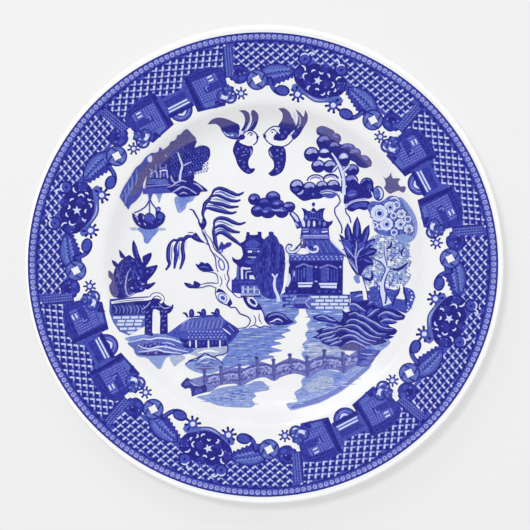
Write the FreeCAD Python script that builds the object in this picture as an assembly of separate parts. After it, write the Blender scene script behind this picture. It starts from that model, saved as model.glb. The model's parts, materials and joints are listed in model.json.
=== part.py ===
"""China dinner plate: a pressed earthenware body, the transfer prints laid on it, and the glaze over both.

Every node is a solid of revolution about +Z, or a quarter of one, made from one closed outline of the
finished plate. Millimetres, with the origin at the centre of the plane that the foot ring stands on.
Neighbours share their faces, because print and glaze follow the body that they were fired on.
"""

import FreeCAD
import Part

import math
import os

# Driving dimensions of the finished, glazed plate.
PLATE_RADIUS = 130.0
PLATE_HEIGHT = 22.0
FLOOR_TOP = 7.2  # height of the well's floor
FLOOR_THICKNESS = 4.6
VERGE_THICKNESS = 4.3
RIM_THICKNESS = 4.0
RIM_SLOPE = math.radians(9.0)
VERGE_SLOPE = math.radians(32.0)
VERGE_FOOT_RADIUS = 74.5  # where the line of the floor and the line of the verge would meet

# Rounds of the finished surface.
WELL_CURVE = 30.0  # hollow, from the floor into the verge
SHOULDER_CURVE = 12.0  # from the verge over on to the rim
BACK_SHOULDER_CURVE = 16.0
LIP_CURVE = 1.9
FOOT_ROOT_CURVE = 1.4
FOOT_EDGE_CURVE = 1.3

# The foot ring, where its flanks meet the table. Both flanks lean in on their way down.
FOOT_OUTER_RADIUS = 76.4
FOOT_INNER_RADIUS = 71.4
FOOT_LEAN = math.radians(18.0)

# The coats on the body. The glaze is wiped off the foot up to this height.
GLAZE_THICKNESS = 0.40
PRINT_THICKNESS = 0.15
BARE_FOOT_HEIGHT = 0.9

# Where the blue prints lie on the upper face.
CENTRE_PRINT_RADIUS = 83.0
BORDER_INNER_RADIUS = 91.5
BORDER_OUTER_RADIUS = 126.7
BORDER_STRIPS = 4
BORDER_FIRST_SEAM = 5.0  # degrees; each seam runs between two of the border's motifs

# The bands that keep only the upper side of a print: how far the border's starts above the middle of the
# floor, to run between the rim's face and its back, and how far every band clears the rim.
BORDER_BAND_LIFT = 4.0
BAND_HEADROOM = 9.0

CENTRE = FreeCAD.Vector(0, 0, 0)
UP = FreeCAD.Vector(0, 0, 1)


# ---- outlines in the half plane of radius and height ----

def crossing(start, angle, other_start, other_angle):
    """The point where two lines meet, each given by a point and its angle to the table."""
    dx, dz = other_start[0] - start[0], other_start[1] - start[1]
    cross = math.cos(angle) * math.sin(other_angle) - math.sin(angle) * math.cos(other_angle)
    along = (dx * math.sin(other_angle) - dz * math.cos(other_angle)) / cross
    return (start[0] + along * math.cos(angle), start[1] + along * math.sin(angle))


def finished_corners():
    """Corners (radius, height, round) of the glazed plate, from the axis along the top and back below."""
    lip_centre = (PLATE_RADIUS - LIP_CURVE, PLATE_HEIGHT - LIP_CURVE)
    rim_normal = (-math.sin(RIM_SLOPE), math.cos(RIM_SLOPE))
    rim_top = tuple(c + LIP_CURVE * n for c, n in zip(lip_centre, rim_normal))
    rim_back = tuple(c - RIM_THICKNESS * n for c, n in zip(rim_top, rim_normal))
    verge_top = (VERGE_FOOT_RADIUS, FLOOR_TOP)
    verge_back = (
        VERGE_FOOT_RADIUS + VERGE_THICKNESS * math.sin(VERGE_SLOPE),
        FLOOR_TOP - VERGE_THICKNESS * math.cos(VERGE_SLOPE),
    )
    upright = math.pi / 2
    outer_flank = ((FOOT_OUTER_RADIUS, 0.0), upright - FOOT_LEAN)
    inner_flank = ((FOOT_INNER_RADIUS, 0.0), upright + FOOT_LEAN)
    floor_back = FLOOR_TOP - FLOOR_THICKNESS
    foot_bottom = -GLAZE_THICKNESS  # the outline of the glaze, had the foot not been wiped

    def corner(where, curve):
        return (where[0], where[1], curve)

    return [
        (0.0, FLOOR_TOP, 0.0),
        corner(verge_top, WELL_CURVE),
        corner(crossing(verge_top, VERGE_SLOPE, rim_top, RIM_SLOPE), SHOULDER_CURVE),
        corner(crossing(rim_top, RIM_SLOPE, (PLATE_RADIUS, 0.0), upright), LIP_CURVE),
        corner(crossing(rim_back, RIM_SLOPE, (PLATE_RADIUS, 0.0), upright), LIP_CURVE),
        corner(crossing(rim_back, RIM_SLOPE, verge_back, VERGE_SLOPE), BACK_SHOULDER_CURVE),
        corner(crossing(verge_back, VERGE_SLOPE, *outer_flank), FOOT_ROOT_CURVE),
        corner(crossing((0.0, foot_bottom), 0.0, *outer_flank), FOOT_EDGE_CURVE),
        corner(crossing((0.0, foot_bottom), 0.0, *inner_flank), FOOT_EDGE_CURVE),
        corner(crossing((0.0, floor_back), 0.0, *inner_flank), FOOT_ROOT_CURVE),
        (0.0, floor_back, 0.0),
    ]


def direction(a, b):
    return math.atan2(b[1] - a[1], b[0] - a[0])


def shrunk(corners, depth):
    """The same outline moved inwards by depth, with each round about its own centre still."""
    moved = []
    for i, here in enumerate(corners):
        if i in (0, len(corners) - 1):
            sign = -1.0 if i == 0 else 1.0
            moved.append((0.0, here[1] + sign * depth, 0.0))
            continue
        before = direction(corners[i - 1], here)
        after = direction(here, corners[i + 1])
        shift = [
            (here[0] + depth * math.sin(angle), here[1] - depth * math.cos(angle))
            for angle in (before, after)
        ]
        turns_inwards = math.sin(after - before) < 0  # the outline runs clockwise
        curve = here[2] - depth if turns_inwards else here[2] + depth
        moved.append((*crossing(shift[0], before, shift[1], after), curve))
    return moved


def outline_face(corners):
    """A flat face bounded by the outline and the axis, with its corners rounded by arcs."""
    edges = []
    start = FreeCAD.Vector(corners[0][0], 0, corners[0][1])
    for i in range(1, len(corners)):
        here = FreeCAD.Vector(corners[i][0], 0, corners[i][1])
        if i == len(corners) - 1:
            edges.append(Part.makeLine(start, here))
            break
        back = FreeCAD.Vector(corners[i - 1][0], 0, corners[i - 1][1]).sub(here).normalize()
        ahead = FreeCAD.Vector(corners[i + 1][0], 0, corners[i + 1][1]).sub(here).normalize()
        half = back.getAngle(ahead) / 2
        reach = corners[i][2] / math.tan(half)
        middle = back.add(ahead).normalize()
        apex = here.add(middle * (corners[i][2] / math.sin(half) - corners[i][2]))
        arc_start, arc_end = here.add(back * reach), here.add(ahead * reach)
        edges.append(Part.makeLine(start, arc_start))
        edges.append(Part.Arc(arc_start, apex, arc_end).toShape())
        start = arc_end
    axis_top = FreeCAD.Vector(corners[0][0], 0, corners[0][1])
    axis_bottom = FreeCAD.Vector(corners[-1][0], 0, corners[-1][1])
    edges.append(Part.makeLine(axis_bottom, axis_top))
    return Part.Face(Part.Wire(edges))


def band(inner_radius, outer_radius, low, high):
    """A flat rectangle of the half plane, to cut outlines with."""
    corners = [(inner_radius, low), (outer_radius, low), (outer_radius, high), (inner_radius, high)]
    points = [FreeCAD.Vector(r, 0, z) for r, z in corners]
    return Part.Face(Part.makePolygon(points + points[:1]))


# ---- solids ----

def turned(faces, start_angle=0.0, sweep=360.0):
    """The solid that a flat face sweeps about the axis."""
    solids = []
    for face in faces:
        placed = face.copy()
        placed.rotate(CENTRE, UP, start_angle)
        solids += placed.revolve(CENTRE, UP, sweep).Solids
    return solids[0] if len(solids) == 1 else Part.makeCompound(solids)


def print_section(body, printed, inner_radius, outer_radius):
    """The film of colour on the body's upper face between two radii."""
    above_floor = FLOOR_TOP - FLOOR_THICKNESS / 2
    above_rim_back = PLATE_HEIGHT - RIM_THICKNESS / 2
    low = above_floor if inner_radius == 0 else above_floor + BORDER_BAND_LIFT
    high = above_rim_back + BAND_HEADROOM
    film = printed.cut(body).common(band(inner_radius, outer_radius, low, high))
    return max(film.Faces, key=lambda face: face.CenterOfMass.z)


def plate_nodes():
    corners = finished_corners()
    glazed = outline_face(corners)
    body = outline_face(shrunk(corners, GLAZE_THICKNESS))
    printed = outline_face(shrunk(corners, GLAZE_THICKNESS - PRINT_THICKNESS))
    centre_film = print_section(body, printed, 0.0, CENTRE_PRINT_RADIUS)
    border_film = print_section(body, printed, BORDER_INNER_RADIUS, BORDER_OUTER_RADIUS)

    wiped = band(0.0, PLATE_RADIUS, -PLATE_HEIGHT, BARE_FOOT_HEIGHT)
    coats = glazed.cut(body).cut(wiped).cut(centre_film).cut(border_film).Faces
    coats.sort(key=lambda face: face.BoundBox.XMax)
    base_coat, face_coat = coats

    nodes = {
        "biscuit_body": turned([body]),
        "face_glaze": turned([face_coat]),
        "base_glaze": turned([base_coat]),
        "centre_print": turned([centre_film]),
    }
    sweep = 360.0 / BORDER_STRIPS
    for number in range(BORDER_STRIPS):
        seam = BORDER_FIRST_SEAM + number * sweep
        nodes[f"border_print_{number + 1}"] = turned([border_film], seam, sweep)
    return nodes


def main():
    os.makedirs("parts", exist_ok=True)
    for name, shape in plate_nodes().items():
        shape.exportStep(f"parts/{name}.step")
        box = shape.BoundBox
        print(
            f"{name}: {len(shape.Solids)} solid, valid {shape.isValid()}, volume {shape.Volume:.1f} mm3, "
            f"radius to {box.XMax:.2f}, height {box.ZMin:.2f} to {box.ZMax:.2f}"
        )


main()
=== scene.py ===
"""Blue and white china dinner plate: white glazed earthenware under a willow-style transfer print.

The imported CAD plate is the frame. The bare foot and the coat under the base keep their CAD shape. The coat on
the face is turned again from the same section with finer steps. The four border transfers and the one in the
centre are drawn here, motif by motif, as thin films of colour draped on that coat.
"""

import json
import math

import bmesh
import bpy
import numpy as np
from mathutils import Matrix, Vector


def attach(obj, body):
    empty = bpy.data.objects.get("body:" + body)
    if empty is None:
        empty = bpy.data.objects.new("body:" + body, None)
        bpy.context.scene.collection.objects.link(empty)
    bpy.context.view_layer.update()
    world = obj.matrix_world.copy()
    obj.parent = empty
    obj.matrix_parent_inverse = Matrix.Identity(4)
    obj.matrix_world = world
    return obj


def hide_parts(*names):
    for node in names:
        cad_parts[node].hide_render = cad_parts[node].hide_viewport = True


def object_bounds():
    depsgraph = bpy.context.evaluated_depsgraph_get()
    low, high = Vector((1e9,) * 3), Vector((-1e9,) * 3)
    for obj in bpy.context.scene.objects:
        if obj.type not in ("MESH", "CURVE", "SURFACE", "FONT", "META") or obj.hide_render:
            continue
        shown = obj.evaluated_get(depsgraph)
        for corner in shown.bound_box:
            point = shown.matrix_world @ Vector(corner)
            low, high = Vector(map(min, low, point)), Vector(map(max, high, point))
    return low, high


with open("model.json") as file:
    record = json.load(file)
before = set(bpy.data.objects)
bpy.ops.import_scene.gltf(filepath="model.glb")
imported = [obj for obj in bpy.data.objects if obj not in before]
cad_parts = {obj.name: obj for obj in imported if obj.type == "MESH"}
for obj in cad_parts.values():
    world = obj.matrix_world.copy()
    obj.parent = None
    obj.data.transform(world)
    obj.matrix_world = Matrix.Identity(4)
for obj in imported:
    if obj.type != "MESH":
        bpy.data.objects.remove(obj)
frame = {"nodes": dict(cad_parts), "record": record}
cad_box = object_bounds()

MM = 0.001  # the artwork is drawn in millimetres, the frame is in metres


# ---- the plate's section, in millimetres ----

PLATE_RADIUS = cad_box[1].x / MM
PLATE_HEIGHT = cad_box[1].z / MM
MOUNTS = {mount["name"]: mount for mount in frame["record"]["mounts"]}
FLOOR_TOP = MOUNTS["well_floor"]["pos_m"][2] / MM  # the middle of the well, above the table
FLOOR_THICKNESS = 4.6
VERGE_THICKNESS = 4.3
RIM_THICKNESS = 4.0
RIM_SLOPE = math.radians(9.0)
VERGE_SLOPE = math.radians(32.0)
VERGE_FOOT_RADIUS = 74.5
WELL_CURVE = 30.0
SHOULDER_CURVE = 12.0
BACK_SHOULDER_CURVE = 16.0
LIP_CURVE = 1.9
FOOT_ROOT_CURVE = 1.4
FOOT_OUTER_RADIUS = 76.4
FOOT_LEAN = math.radians(18.0)
GLAZE_THICKNESS = 0.40
BARE_FOOT_HEIGHT = 0.9


def crossing(start_a, angle_a, start_b, angle_b):
    """Where two straight lines of the section meet."""
    across_a, up_a = math.cos(angle_a), math.sin(angle_a)
    across_b, up_b = math.cos(angle_b), math.sin(angle_b)
    turn = across_a * up_b - up_a * across_b
    gap_r, gap_z = start_b[0] - start_a[0], start_b[1] - start_a[1]
    along = (gap_r * up_b - gap_z * across_b) / turn
    return start_a[0] + along * across_a, start_a[1] + along * up_a


def section_corners():
    """Corners (radius, height, rounding) of the glazed outline, from the middle by the lip to the foot."""
    upright = math.pi / 2
    lip = (PLATE_RADIUS - LIP_CURVE, PLATE_HEIGHT - LIP_CURVE)
    rim_top = (lip[0] - LIP_CURVE * math.sin(RIM_SLOPE), lip[1] + LIP_CURVE * math.cos(RIM_SLOPE))
    rim_back = (rim_top[0] + RIM_THICKNESS * math.sin(RIM_SLOPE),
        rim_top[1] - RIM_THICKNESS * math.cos(RIM_SLOPE))
    verge_top = (VERGE_FOOT_RADIUS, FLOOR_TOP)
    verge_back = (VERGE_FOOT_RADIUS + VERGE_THICKNESS * math.sin(VERGE_SLOPE),
                  FLOOR_TOP - VERGE_THICKNESS * math.cos(VERGE_SLOPE))
    edge = (PLATE_RADIUS, 0.0)
    flank = (FOOT_OUTER_RADIUS, 0.0)
    flank_angle = upright - FOOT_LEAN
    return [
        (0.0, FLOOR_TOP, 0.0),
        verge_top + (WELL_CURVE,),
        crossing(verge_top, VERGE_SLOPE, rim_top, RIM_SLOPE) + (SHOULDER_CURVE,),
        crossing(rim_top, RIM_SLOPE, edge, upright) + (LIP_CURVE,),
        crossing(rim_back, RIM_SLOPE, edge, upright) + (LIP_CURVE,),
        crossing(rim_back, RIM_SLOPE, verge_back, VERGE_SLOPE) + (BACK_SHOULDER_CURVE,),
        crossing(verge_back, VERGE_SLOPE, flank, flank_angle) + (FOOT_ROOT_CURVE,),
        crossing((0.0, BARE_FOOT_HEIGHT), 0.0, flank, flank_angle) + (0.0,),
    ]


def rounded_outline(corners):
    """The outline through the corners, each turned with an arc of its own rounding."""
    outline = [corners[0][:2]]
    for before, corner, after in zip(corners, corners[1:], corners[2:]):
        point = np.array(corner[:2])
        back = np.array(before[:2]) - point
        ahead = np.array(after[:2]) - point
        back /= np.linalg.norm(back)
        ahead /= np.linalg.norm(ahead)
        opening = math.acos(max(-1.0, min(1.0, float(back @ ahead))))
        reach = corner[2] / math.tan(opening / 2)
        start, end = point + back * reach, point + ahead * reach
        bisector = (back + ahead) / np.linalg.norm(back + ahead)
        centre = point + bisector * (corner[2] / math.sin(opening / 2))
        sweep = math.pi - opening
        steps = max(4, round(math.degrees(sweep) / 3.0), round(sweep * corner[2] / 1.2))
        from_centre = start - centre
        turn = math.copysign(sweep, float(np.cross(from_centre, end - centre)))
        for step in range(steps + 1):
            angle = turn * step / steps
            outline.append((
                float(centre[0] + from_centre[0] * math.cos(angle) - from_centre[1] * math.sin(angle)),
                float(centre[1] + from_centre[0] * math.sin(angle) + from_centre[1] * math.cos(angle)),
            ))
    outline.append(corners[-1][:2])
    return outline


OUTLINE = rounded_outline(section_corners())
TOP = OUTLINE[:1 + max(range(len(OUTLINE)), key=lambda place: OUTLINE[place][1])]
TOP_RADII = np.array([point[0] for point in TOP])
TOP_HEIGHTS = np.array([point[1] for point in TOP])


# ---- drawing on the flat, in millimetres, x to the right and y away from the lower edge ----

NAVY, INDIGO, COBALT, BAND, SKY, WASH = "navy", "indigo", "cobalt", "band", "sky", "wash"
MIST, LILAC, PALE, PAPER, PLUM_AND_REFLECTION, BEAD = "mist", "lilac", "pale", "paper", "plum", "bead"
BRIDGE, BRIDGE_DARK, TICK = "bridge", "bridge_dark", "tick"
CURVE_STEP = 0.55  # between the points of a curve


def curve(points, closed=False):
    """Points along a smooth curve through the given ones."""
    count = len(points)
    if count == 2 and not closed:
        return list(points)
    gaps = [math.dist(points[i], points[(i + 1) % count]) for i in range(count)]

    def slope(i):
        if not closed and i in (0, count - 1):
            a, b = (0, 1) if i == 0 else (count - 2, count - 1)
            return [(points[b][k] - points[a][k]) / gaps[a] for k in (0, 1)]
        before, after = points[i - 1], points[(i + 1) % count]
        return [(after[k] - before[k]) / (gaps[i - 1] + gaps[i]) for k in (0, 1)]

    along = []
    for i in range(count if closed else count - 1):
        here, there, gap = points[i], points[(i + 1) % count], gaps[i]
        leave, arrive = slope(i), slope((i + 1) % count)
        steps = max(1, round(gap / CURVE_STEP))
        for step in range(steps):
            t = step / steps
            along.append(tuple(
                (1 + 2 * t) * (1 - t) ** 2 * here[k] + t * (1 - t) ** 2 * gap * leave[k]
                + t * t * (3 - 2 * t) * there[k] - t * t * (1 - t) * gap * arrive[k]
                for k in (0, 1)
            ))
    if not closed:
        along.append(tuple(points[-1]))
    return along


def oval(x, y, rx, ry, turn=0.0, start=0.0, end=360.0):
    """Points round an ellipse, counterclockwise from start to end degrees."""
    steps = max(8, round(math.radians(abs(end - start)) * max(rx, ry) / CURVE_STEP))
    whole = abs(end - start) >= 360.0
    tilt = math.radians(turn)
    points = []
    for step in range(steps if whole else steps + 1):
        angle = math.radians(start + (end - start) * step / steps)
        u, v = rx * math.cos(angle), ry * math.sin(angle)
        points.append((x + u * math.cos(tilt) - v * math.sin(tilt),
            y + u * math.sin(tilt) + v * math.cos(tilt)))
    return points


def polar(x, y, radius, degrees):
    angle = math.radians(degrees)
    return (x + radius * math.cos(angle), y + radius * math.sin(angle))


def edges_of_line(points, width, ends):
    """The left and right edge of a line; ends are its width at each end, as a share of the middle's."""
    last = len(points) - 1
    lefts, rights = [], []
    for i, (x, y) in enumerate(points):
        ahead, behind = points[min(i + 1, last)], points[max(i - 1, 0)]
        dx, dy = ahead[0] - behind[0], ahead[1] - behind[1]
        length = math.hypot(dx, dy) or 1.0
        t = i / last
        end, inward = (ends[0], 3 * t) if t < 0.5 else (ends[1], 3 - 3 * t)
        share = end + (1 - end) * min(1, inward)
        half = width * share / 2
        lefts.append((x - dy / length * half, y + dx / length * half))
        rights.append((x + dy / length * half, y - dx / length * half))
    return lefts, rights


class Print:
    """One motif of the transfer print: coloured shapes, each over the ones before it."""

    def __init__(self, name):
        self.name = name
        self.shapes = []  # (tone, outline, None), or (tone, left edge, right edge) of a line

    def area(self, tone, *runs):
        """A filled outline of smooth runs, each starting where the last one ended."""
        outline = []
        for i, run in enumerate(runs):
            points = list(run) if i == 0 else [outline[-1], *run]
            outline = outline[:-1] + curve(points)
        self.shapes.append((tone, outline, None))

    def blob(self, tone, *points):
        """A filled smooth closed curve."""
        self.shapes.append((tone, curve(points, closed=True), None))

    def facet(self, tone, *points):
        """A filled outline with straight sides."""
        self.shapes.append((tone, list(points), None))

    def disc(self, tone, x, y, rx, ry=None, turn=0.0):
        self.shapes.append((tone, oval(x, y, rx, ry or rx, turn), None))

    def discs(self, *rows):
        for row in rows:
            self.disc(*row)

    def line(self, tone, width, *points, ends=(1.0, 1.0)):
        """A smooth line through the points."""
        self.shapes.append((tone, *edges_of_line(curve(points), width, ends)))

    def lines(self, *rows, ends=(1.0, 1.0)):
        """Several smooth lines, each row the tone, the width and the points."""
        for row in rows:
            self.line(*row, ends=ends)

    def sharp(self, tone, width, *points):
        """A straight line from each point to the next."""
        for start, end in zip(points, points[1:]):
            self.shapes.append((tone, *edges_of_line([start, end], width, (1.0, 1.0))))

    def sharps(self, *rows):
        """Several straight lines, each row the tone, the width and the points."""
        for row in rows:
            self.sharp(*row)

    def ring(self, tone, width, x, y, rx, ry=None, turn=0.0, start=0.0, end=360.0, ends=(1.0, 1.0)):
        """A line round an ellipse, or round part of it."""
        points = oval(x, y, rx, ry or rx, turn, start, end)
        if abs(end - start) >= 360.0:
            points.append(points[0])
        self.shapes.append((tone, *edges_of_line(points, width, ends)))
        if abs(end - start) >= 360.0:  # the two ends of a whole ring meet in one place
            for edge in self.shapes[-1][1:]:
                edge[0] = edge[-1] = tuple((a + b) / 2 for a, b in zip(edge[0], edge[-1]))

    def dots(self, tone, radius, *centres):
        for x, y in centres:
            self.disc(tone, x, y, radius)

    def hatch(self, tone, width, start, end, across, count):
        """Parallel strokes: the first at start, the last at end, each running across."""
        for i in range(count):
            t = i / (count - 1)
            x, y = (a + (b - a) * t for a, b in zip(start, end))
            self.sharp(tone, width, (x, y), (x + across[0], y + across[1]))


def spread(outline, count, seed=0):
    """Evenly scattered points inside an outline, each with a number from 0 to 1 of its own."""
    xs, ys = [x for x, y in outline], [y for x, y in outline]
    for number in range(count):
        across, up = (seed * 0.37 + number * 0.754878) % 1, (seed * 0.61 + number * 0.569840) % 1
        x = min(xs) + across * (max(xs) - min(xs))
        y = min(ys) + up * (max(ys) - min(ys))
        crossings = 0
        for (x0, y0), (x1, y1) in zip(outline, outline[1:] + outline[:1]):
            if (y0 > y) != (y1 > y) and x < x0 + (y - y0) * (x1 - x0) / (y1 - y0):
                crossings += 1
        if crossings % 2:
            yield x, y, (number * 0.618034 + seed * 0.23) % 1


def ripples(motif, tone, width, length, outline, count, seed=0):
    """Short level strokes scattered over an outline, as engraved water has."""
    for x, y, chance in spread(outline, count, seed):
        half = length * (0.5 + chance) / 2
        motif.line(tone, width, (x - half, y), (x, y + 0.12 * (chance - 0.5)), (x + half, y), ends=(0.2, 0.2))


def speckle(motif, tone, size, outline, count, seed=0, stretch=1.6):
    """Small leaf-like spots scattered over an outline, each turned its own way."""
    for x, y, chance in spread(outline, count, seed):
        motif.disc(tone, x, y, size * stretch * (0.6 + 0.6 * chance), size * (0.6 + 0.5 * chance),
            360 * chance)


# ---- the border: four quarters, each a flower and a fret sector, drawn upright with the rim's edge up ----

SECTOR = 45  # degrees
BEADS_PER_SECTOR = 31
GROUND_RADIUS = 104.5  # inner edge of the border's blue ground
GUARD_RADIUS = 122.2  # dark line inside the beads
LAP = 0.15  # degrees by which neighbours lap, so that no white shows between them
EDGE_RADIUS = 126.3  # dark line outside them


def ring_sector(motif, tone, inner, outer, start, end):
    """Fills a part of a ring about the plate's centre; the angles are degrees clockwise from upright."""
    outside = oval(0, 0, outer, outer, 90, -start, -end)
    inside = oval(0, 0, inner, inner, 90, -end, -start)
    motif.facet(tone, *outside, *inside)


def border_ground(name):
    ground = Print(name)
    half = SECTOR / 2 + LAP
    ring_sector(ground, COBALT, GROUND_RADIUS, EDGE_RADIUS, -half, half)
    return ground


def border_beads(name):
    beads = Print(name)
    half = SECTOR / 2
    bead_radius = 1.18
    middle = (GUARD_RADIUS + EDGE_RADIUS + 0.3) / 2
    ring_sector(beads, COBALT, GUARD_RADIUS, EDGE_RADIUS, -half - LAP, half + LAP)
    for edge in (GUARD_RADIUS, EDGE_RADIUS):
        ring_sector(beads, NAVY, edge - 0.4, edge + 0.35, -half - LAP, half + LAP)
    for number in range(BEADS_PER_SECTOR):
        x, y = polar(0, 0, middle, 90 + half - (number + 0.5) * SECTOR / BEADS_PER_SECTOR)
        beads.discs(
            (LILAC, x, y, bead_radius * 1.05), (BAND, x, y - 0.1, bead_radius * 0.62),
            (LILAC, x - 0.1, y, bead_radius * 0.26),
        )
    return beads


def lattice(name, is_open, half):
    """Ticks and diamonds on a slanting grid, wherever is_open(x, y) leaves room, up to half degrees aside."""
    grid = Print(name)
    long_arm, short_arm = (3.36, 56), (3.57, 157)  # spacing and direction of the grid
    u = polar(0, 0, *long_arm)
    v = polar(0, 0, *short_arm)
    reach = 40
    for i in range(-reach, reach):
        for j in range(-reach, reach):
            x, y = i * u[0] + j * v[0] + 0.4, i * u[1] + j * v[1] + 112
            centre = (x + (u[0] + v[0]) / 2, y + (u[1] + v[1]) / 2)
            radius = math.hypot(*centre)
            angle = math.degrees(math.atan2(centre[0], centre[1]))
            if not (GROUND_RADIUS - 4 < radius < GUARD_RADIUS + 0.6 and abs(angle) < half):
                continue
            if not is_open(*centre):
                continue
            grid.facet(NAVY, *((centre[0] + a * u[0] + b * v[0], centre[1] + a * u[1] + b * v[1]) for a,
                b in ((-0.34, -0.26), (0.40, -0.34), (0.36, 0.30), (-0.20, 0.34))))
            grid.sharp(LILAC, 0.72, (x, y), (x + v[0] * 0.56, y + v[1] * 0.56))
            grid.sharp(TICK, 0.98, (x - 0.10 * u[0], y - 0.10 * u[1]), (x + u[0] * 0.60, y + u[1] * 0.60))
    return grid


def daisy(motif, x, y, radius, petals, turn=0):
    for petal in range(petals):
        angle = turn + 360 * petal / petals
        motif.line(NAVY, radius * 0.27, polar(x, y, radius * 0.3, angle), polar(x, y, radius * 0.97, angle))
        motif.disc(NAVY, *polar(x, y, radius * 0.86, angle), radius * 0.17)
    motif.disc(COBALT, x, y, radius * 0.56)
    motif.disc(PALE, x, y, radius * 0.3)


def coin(motif, x, y):
    """A round coin with a square hole, and four arcs round the hole."""
    radius, hole = 5.7, 2.5
    motif.disc(NAVY, x, y, radius)
    motif.disc(BAND, x, y, radius - 0.7)
    for quarter in range(4):
        corner = 90 * quarter
        motif.line(NAVY, 0.75, polar(x, y, hole, corner), polar(x, y, 3.3, corner + 32),
            polar(x, y, radius, corner + 52))
        motif.ring(BEAD, 0.9, x, y, 3.9, start=corner + 60, end=corner + 88, ends=(0.3, 0.3))
    motif.facet(PAPER, *(polar(x, y, hole * 1.12 if k % 2 == 0 else hole * 0.72, 45 * k) for k in range(8)))


def comma(motif, x, y, side):
    """A round-headed comma with its tail swept out and up; side is 1 for a tail to the left."""
    motif.blob(
        NAVY, (x + 4.6 * side, y + 0.3), (x + 3.2 * side, y - 2.3), (x - 0.5 * side, y - 3.2),
        (x - 4.6 * side, y - 1.9), (x - 8 * side, y + 1.6), (x - 9.4 * side, y + 4.6),
        (x - 6.8 * side, y + 4.9), (x - 5 * side, y + 2), (x - 3.4 * side, y + 0.5),
        (x - 2.4 * side, y + 1.9), (x + 0.4 * side, y + 2.9), (x + 3.4 * side, y + 2.2),
    )
    motif.disc(COBALT, x + 0.5 * side, y - 0.1, 3.3, 2.1)
    motif.line(COBALT, 1.5, (x - 3.6 * side, y - 1), (x - 6.2 * side, y + 0.9), (x - 7.8 * side, y + 3.6))


def leaf_spray(motif, side):
    """The hatched leaf beside the rosette, with its saw-toothed lower edge; side is -1 for the left one."""
    def at(x, y):
        return (x * side, y)

    motif.area(NAVY, [at(27.4, 93.9), at(31.4, 95.4), at(34, 98.4), at(32.8, 102.2), at(29.6, 105.4),
        at(25.3, 107.4), at(20, 108), at(14.6, 106.4)], [at(16.8, 101.7), at(21.2, 98.6), at(25.2, 95.2),
        at(27.4, 93.9)])
    motif.area(COBALT, [at(27.6, 94.6), at(31, 95.9), at(33.3, 98.5), at(32.1, 101.8), at(29.2, 104.8),
        at(25.2, 106.7), at(20.2, 107.3), at(15.6, 106)], [at(17.4, 102.3), at(21.6, 99.2), at(25.6, 95.9),
        at(27.6, 94.6)])
    motif.area(BAND, [at(31.6, 98.2), at(31.6, 101), at(28.8, 104), at(25, 105.9), at(20.8, 106.6),
        at(17.4, 105.9)], [at(22.6, 104), at(27.4, 101.6), at(31.6, 98.2)])
    teeth = [at(25.8, 95.2), at(24.6, 93.8)]
    for step in range(5):
        x, y = 24.2 - 1.95 * step, 95.4 + 1.62 * step
        teeth += [at(x, y), at(x - 1.5, y - 0.1)]
    motif.facet(INDIGO, *teeth, at(14.8, 103.4), at(16, 103.6), at(21.6, 100.2), at(26.6, 96.4))
    motif.lines(
        (NAVY, 0.55, at(31.6, 97.4), at(27.5, 101), at(22.9, 103.4), at(17, 105.4)),
        (NAVY, 0.5, at(16, 103.8), at(21.7, 100.6), at(26.6, 96.8)),
        (BEAD, 0.55, at(17, 104.4), at(22.2, 101.6), at(27.2, 98)),
        ends=(0.5, 0.5),
    )
    for rib in range(7):
        t = rib / 6
        x, y = 29.6 - 10.8 * t, 100.2 + 5 * t - 1.2 * t * (1 - t)
        motif.line(SKY, 0.6, at(x, y), at(x + 0.1, y + 1.4), at(x - 1, y + 2.4 - 0.9 * t), ends=(0.5, 0.4))
        motif.line(SKY, 0.6, at(x + 0.8, y - 1.3), at(x - 0.4, y - 1.7), at(x - 1.1, y - 2.6),
            ends=(0.4, 0.5))
    motif.line(SKY, 0.5, at(29.2, 96), at(31.4, 97), at(32.2, 99), ends=(0.4, 0.4))


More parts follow.
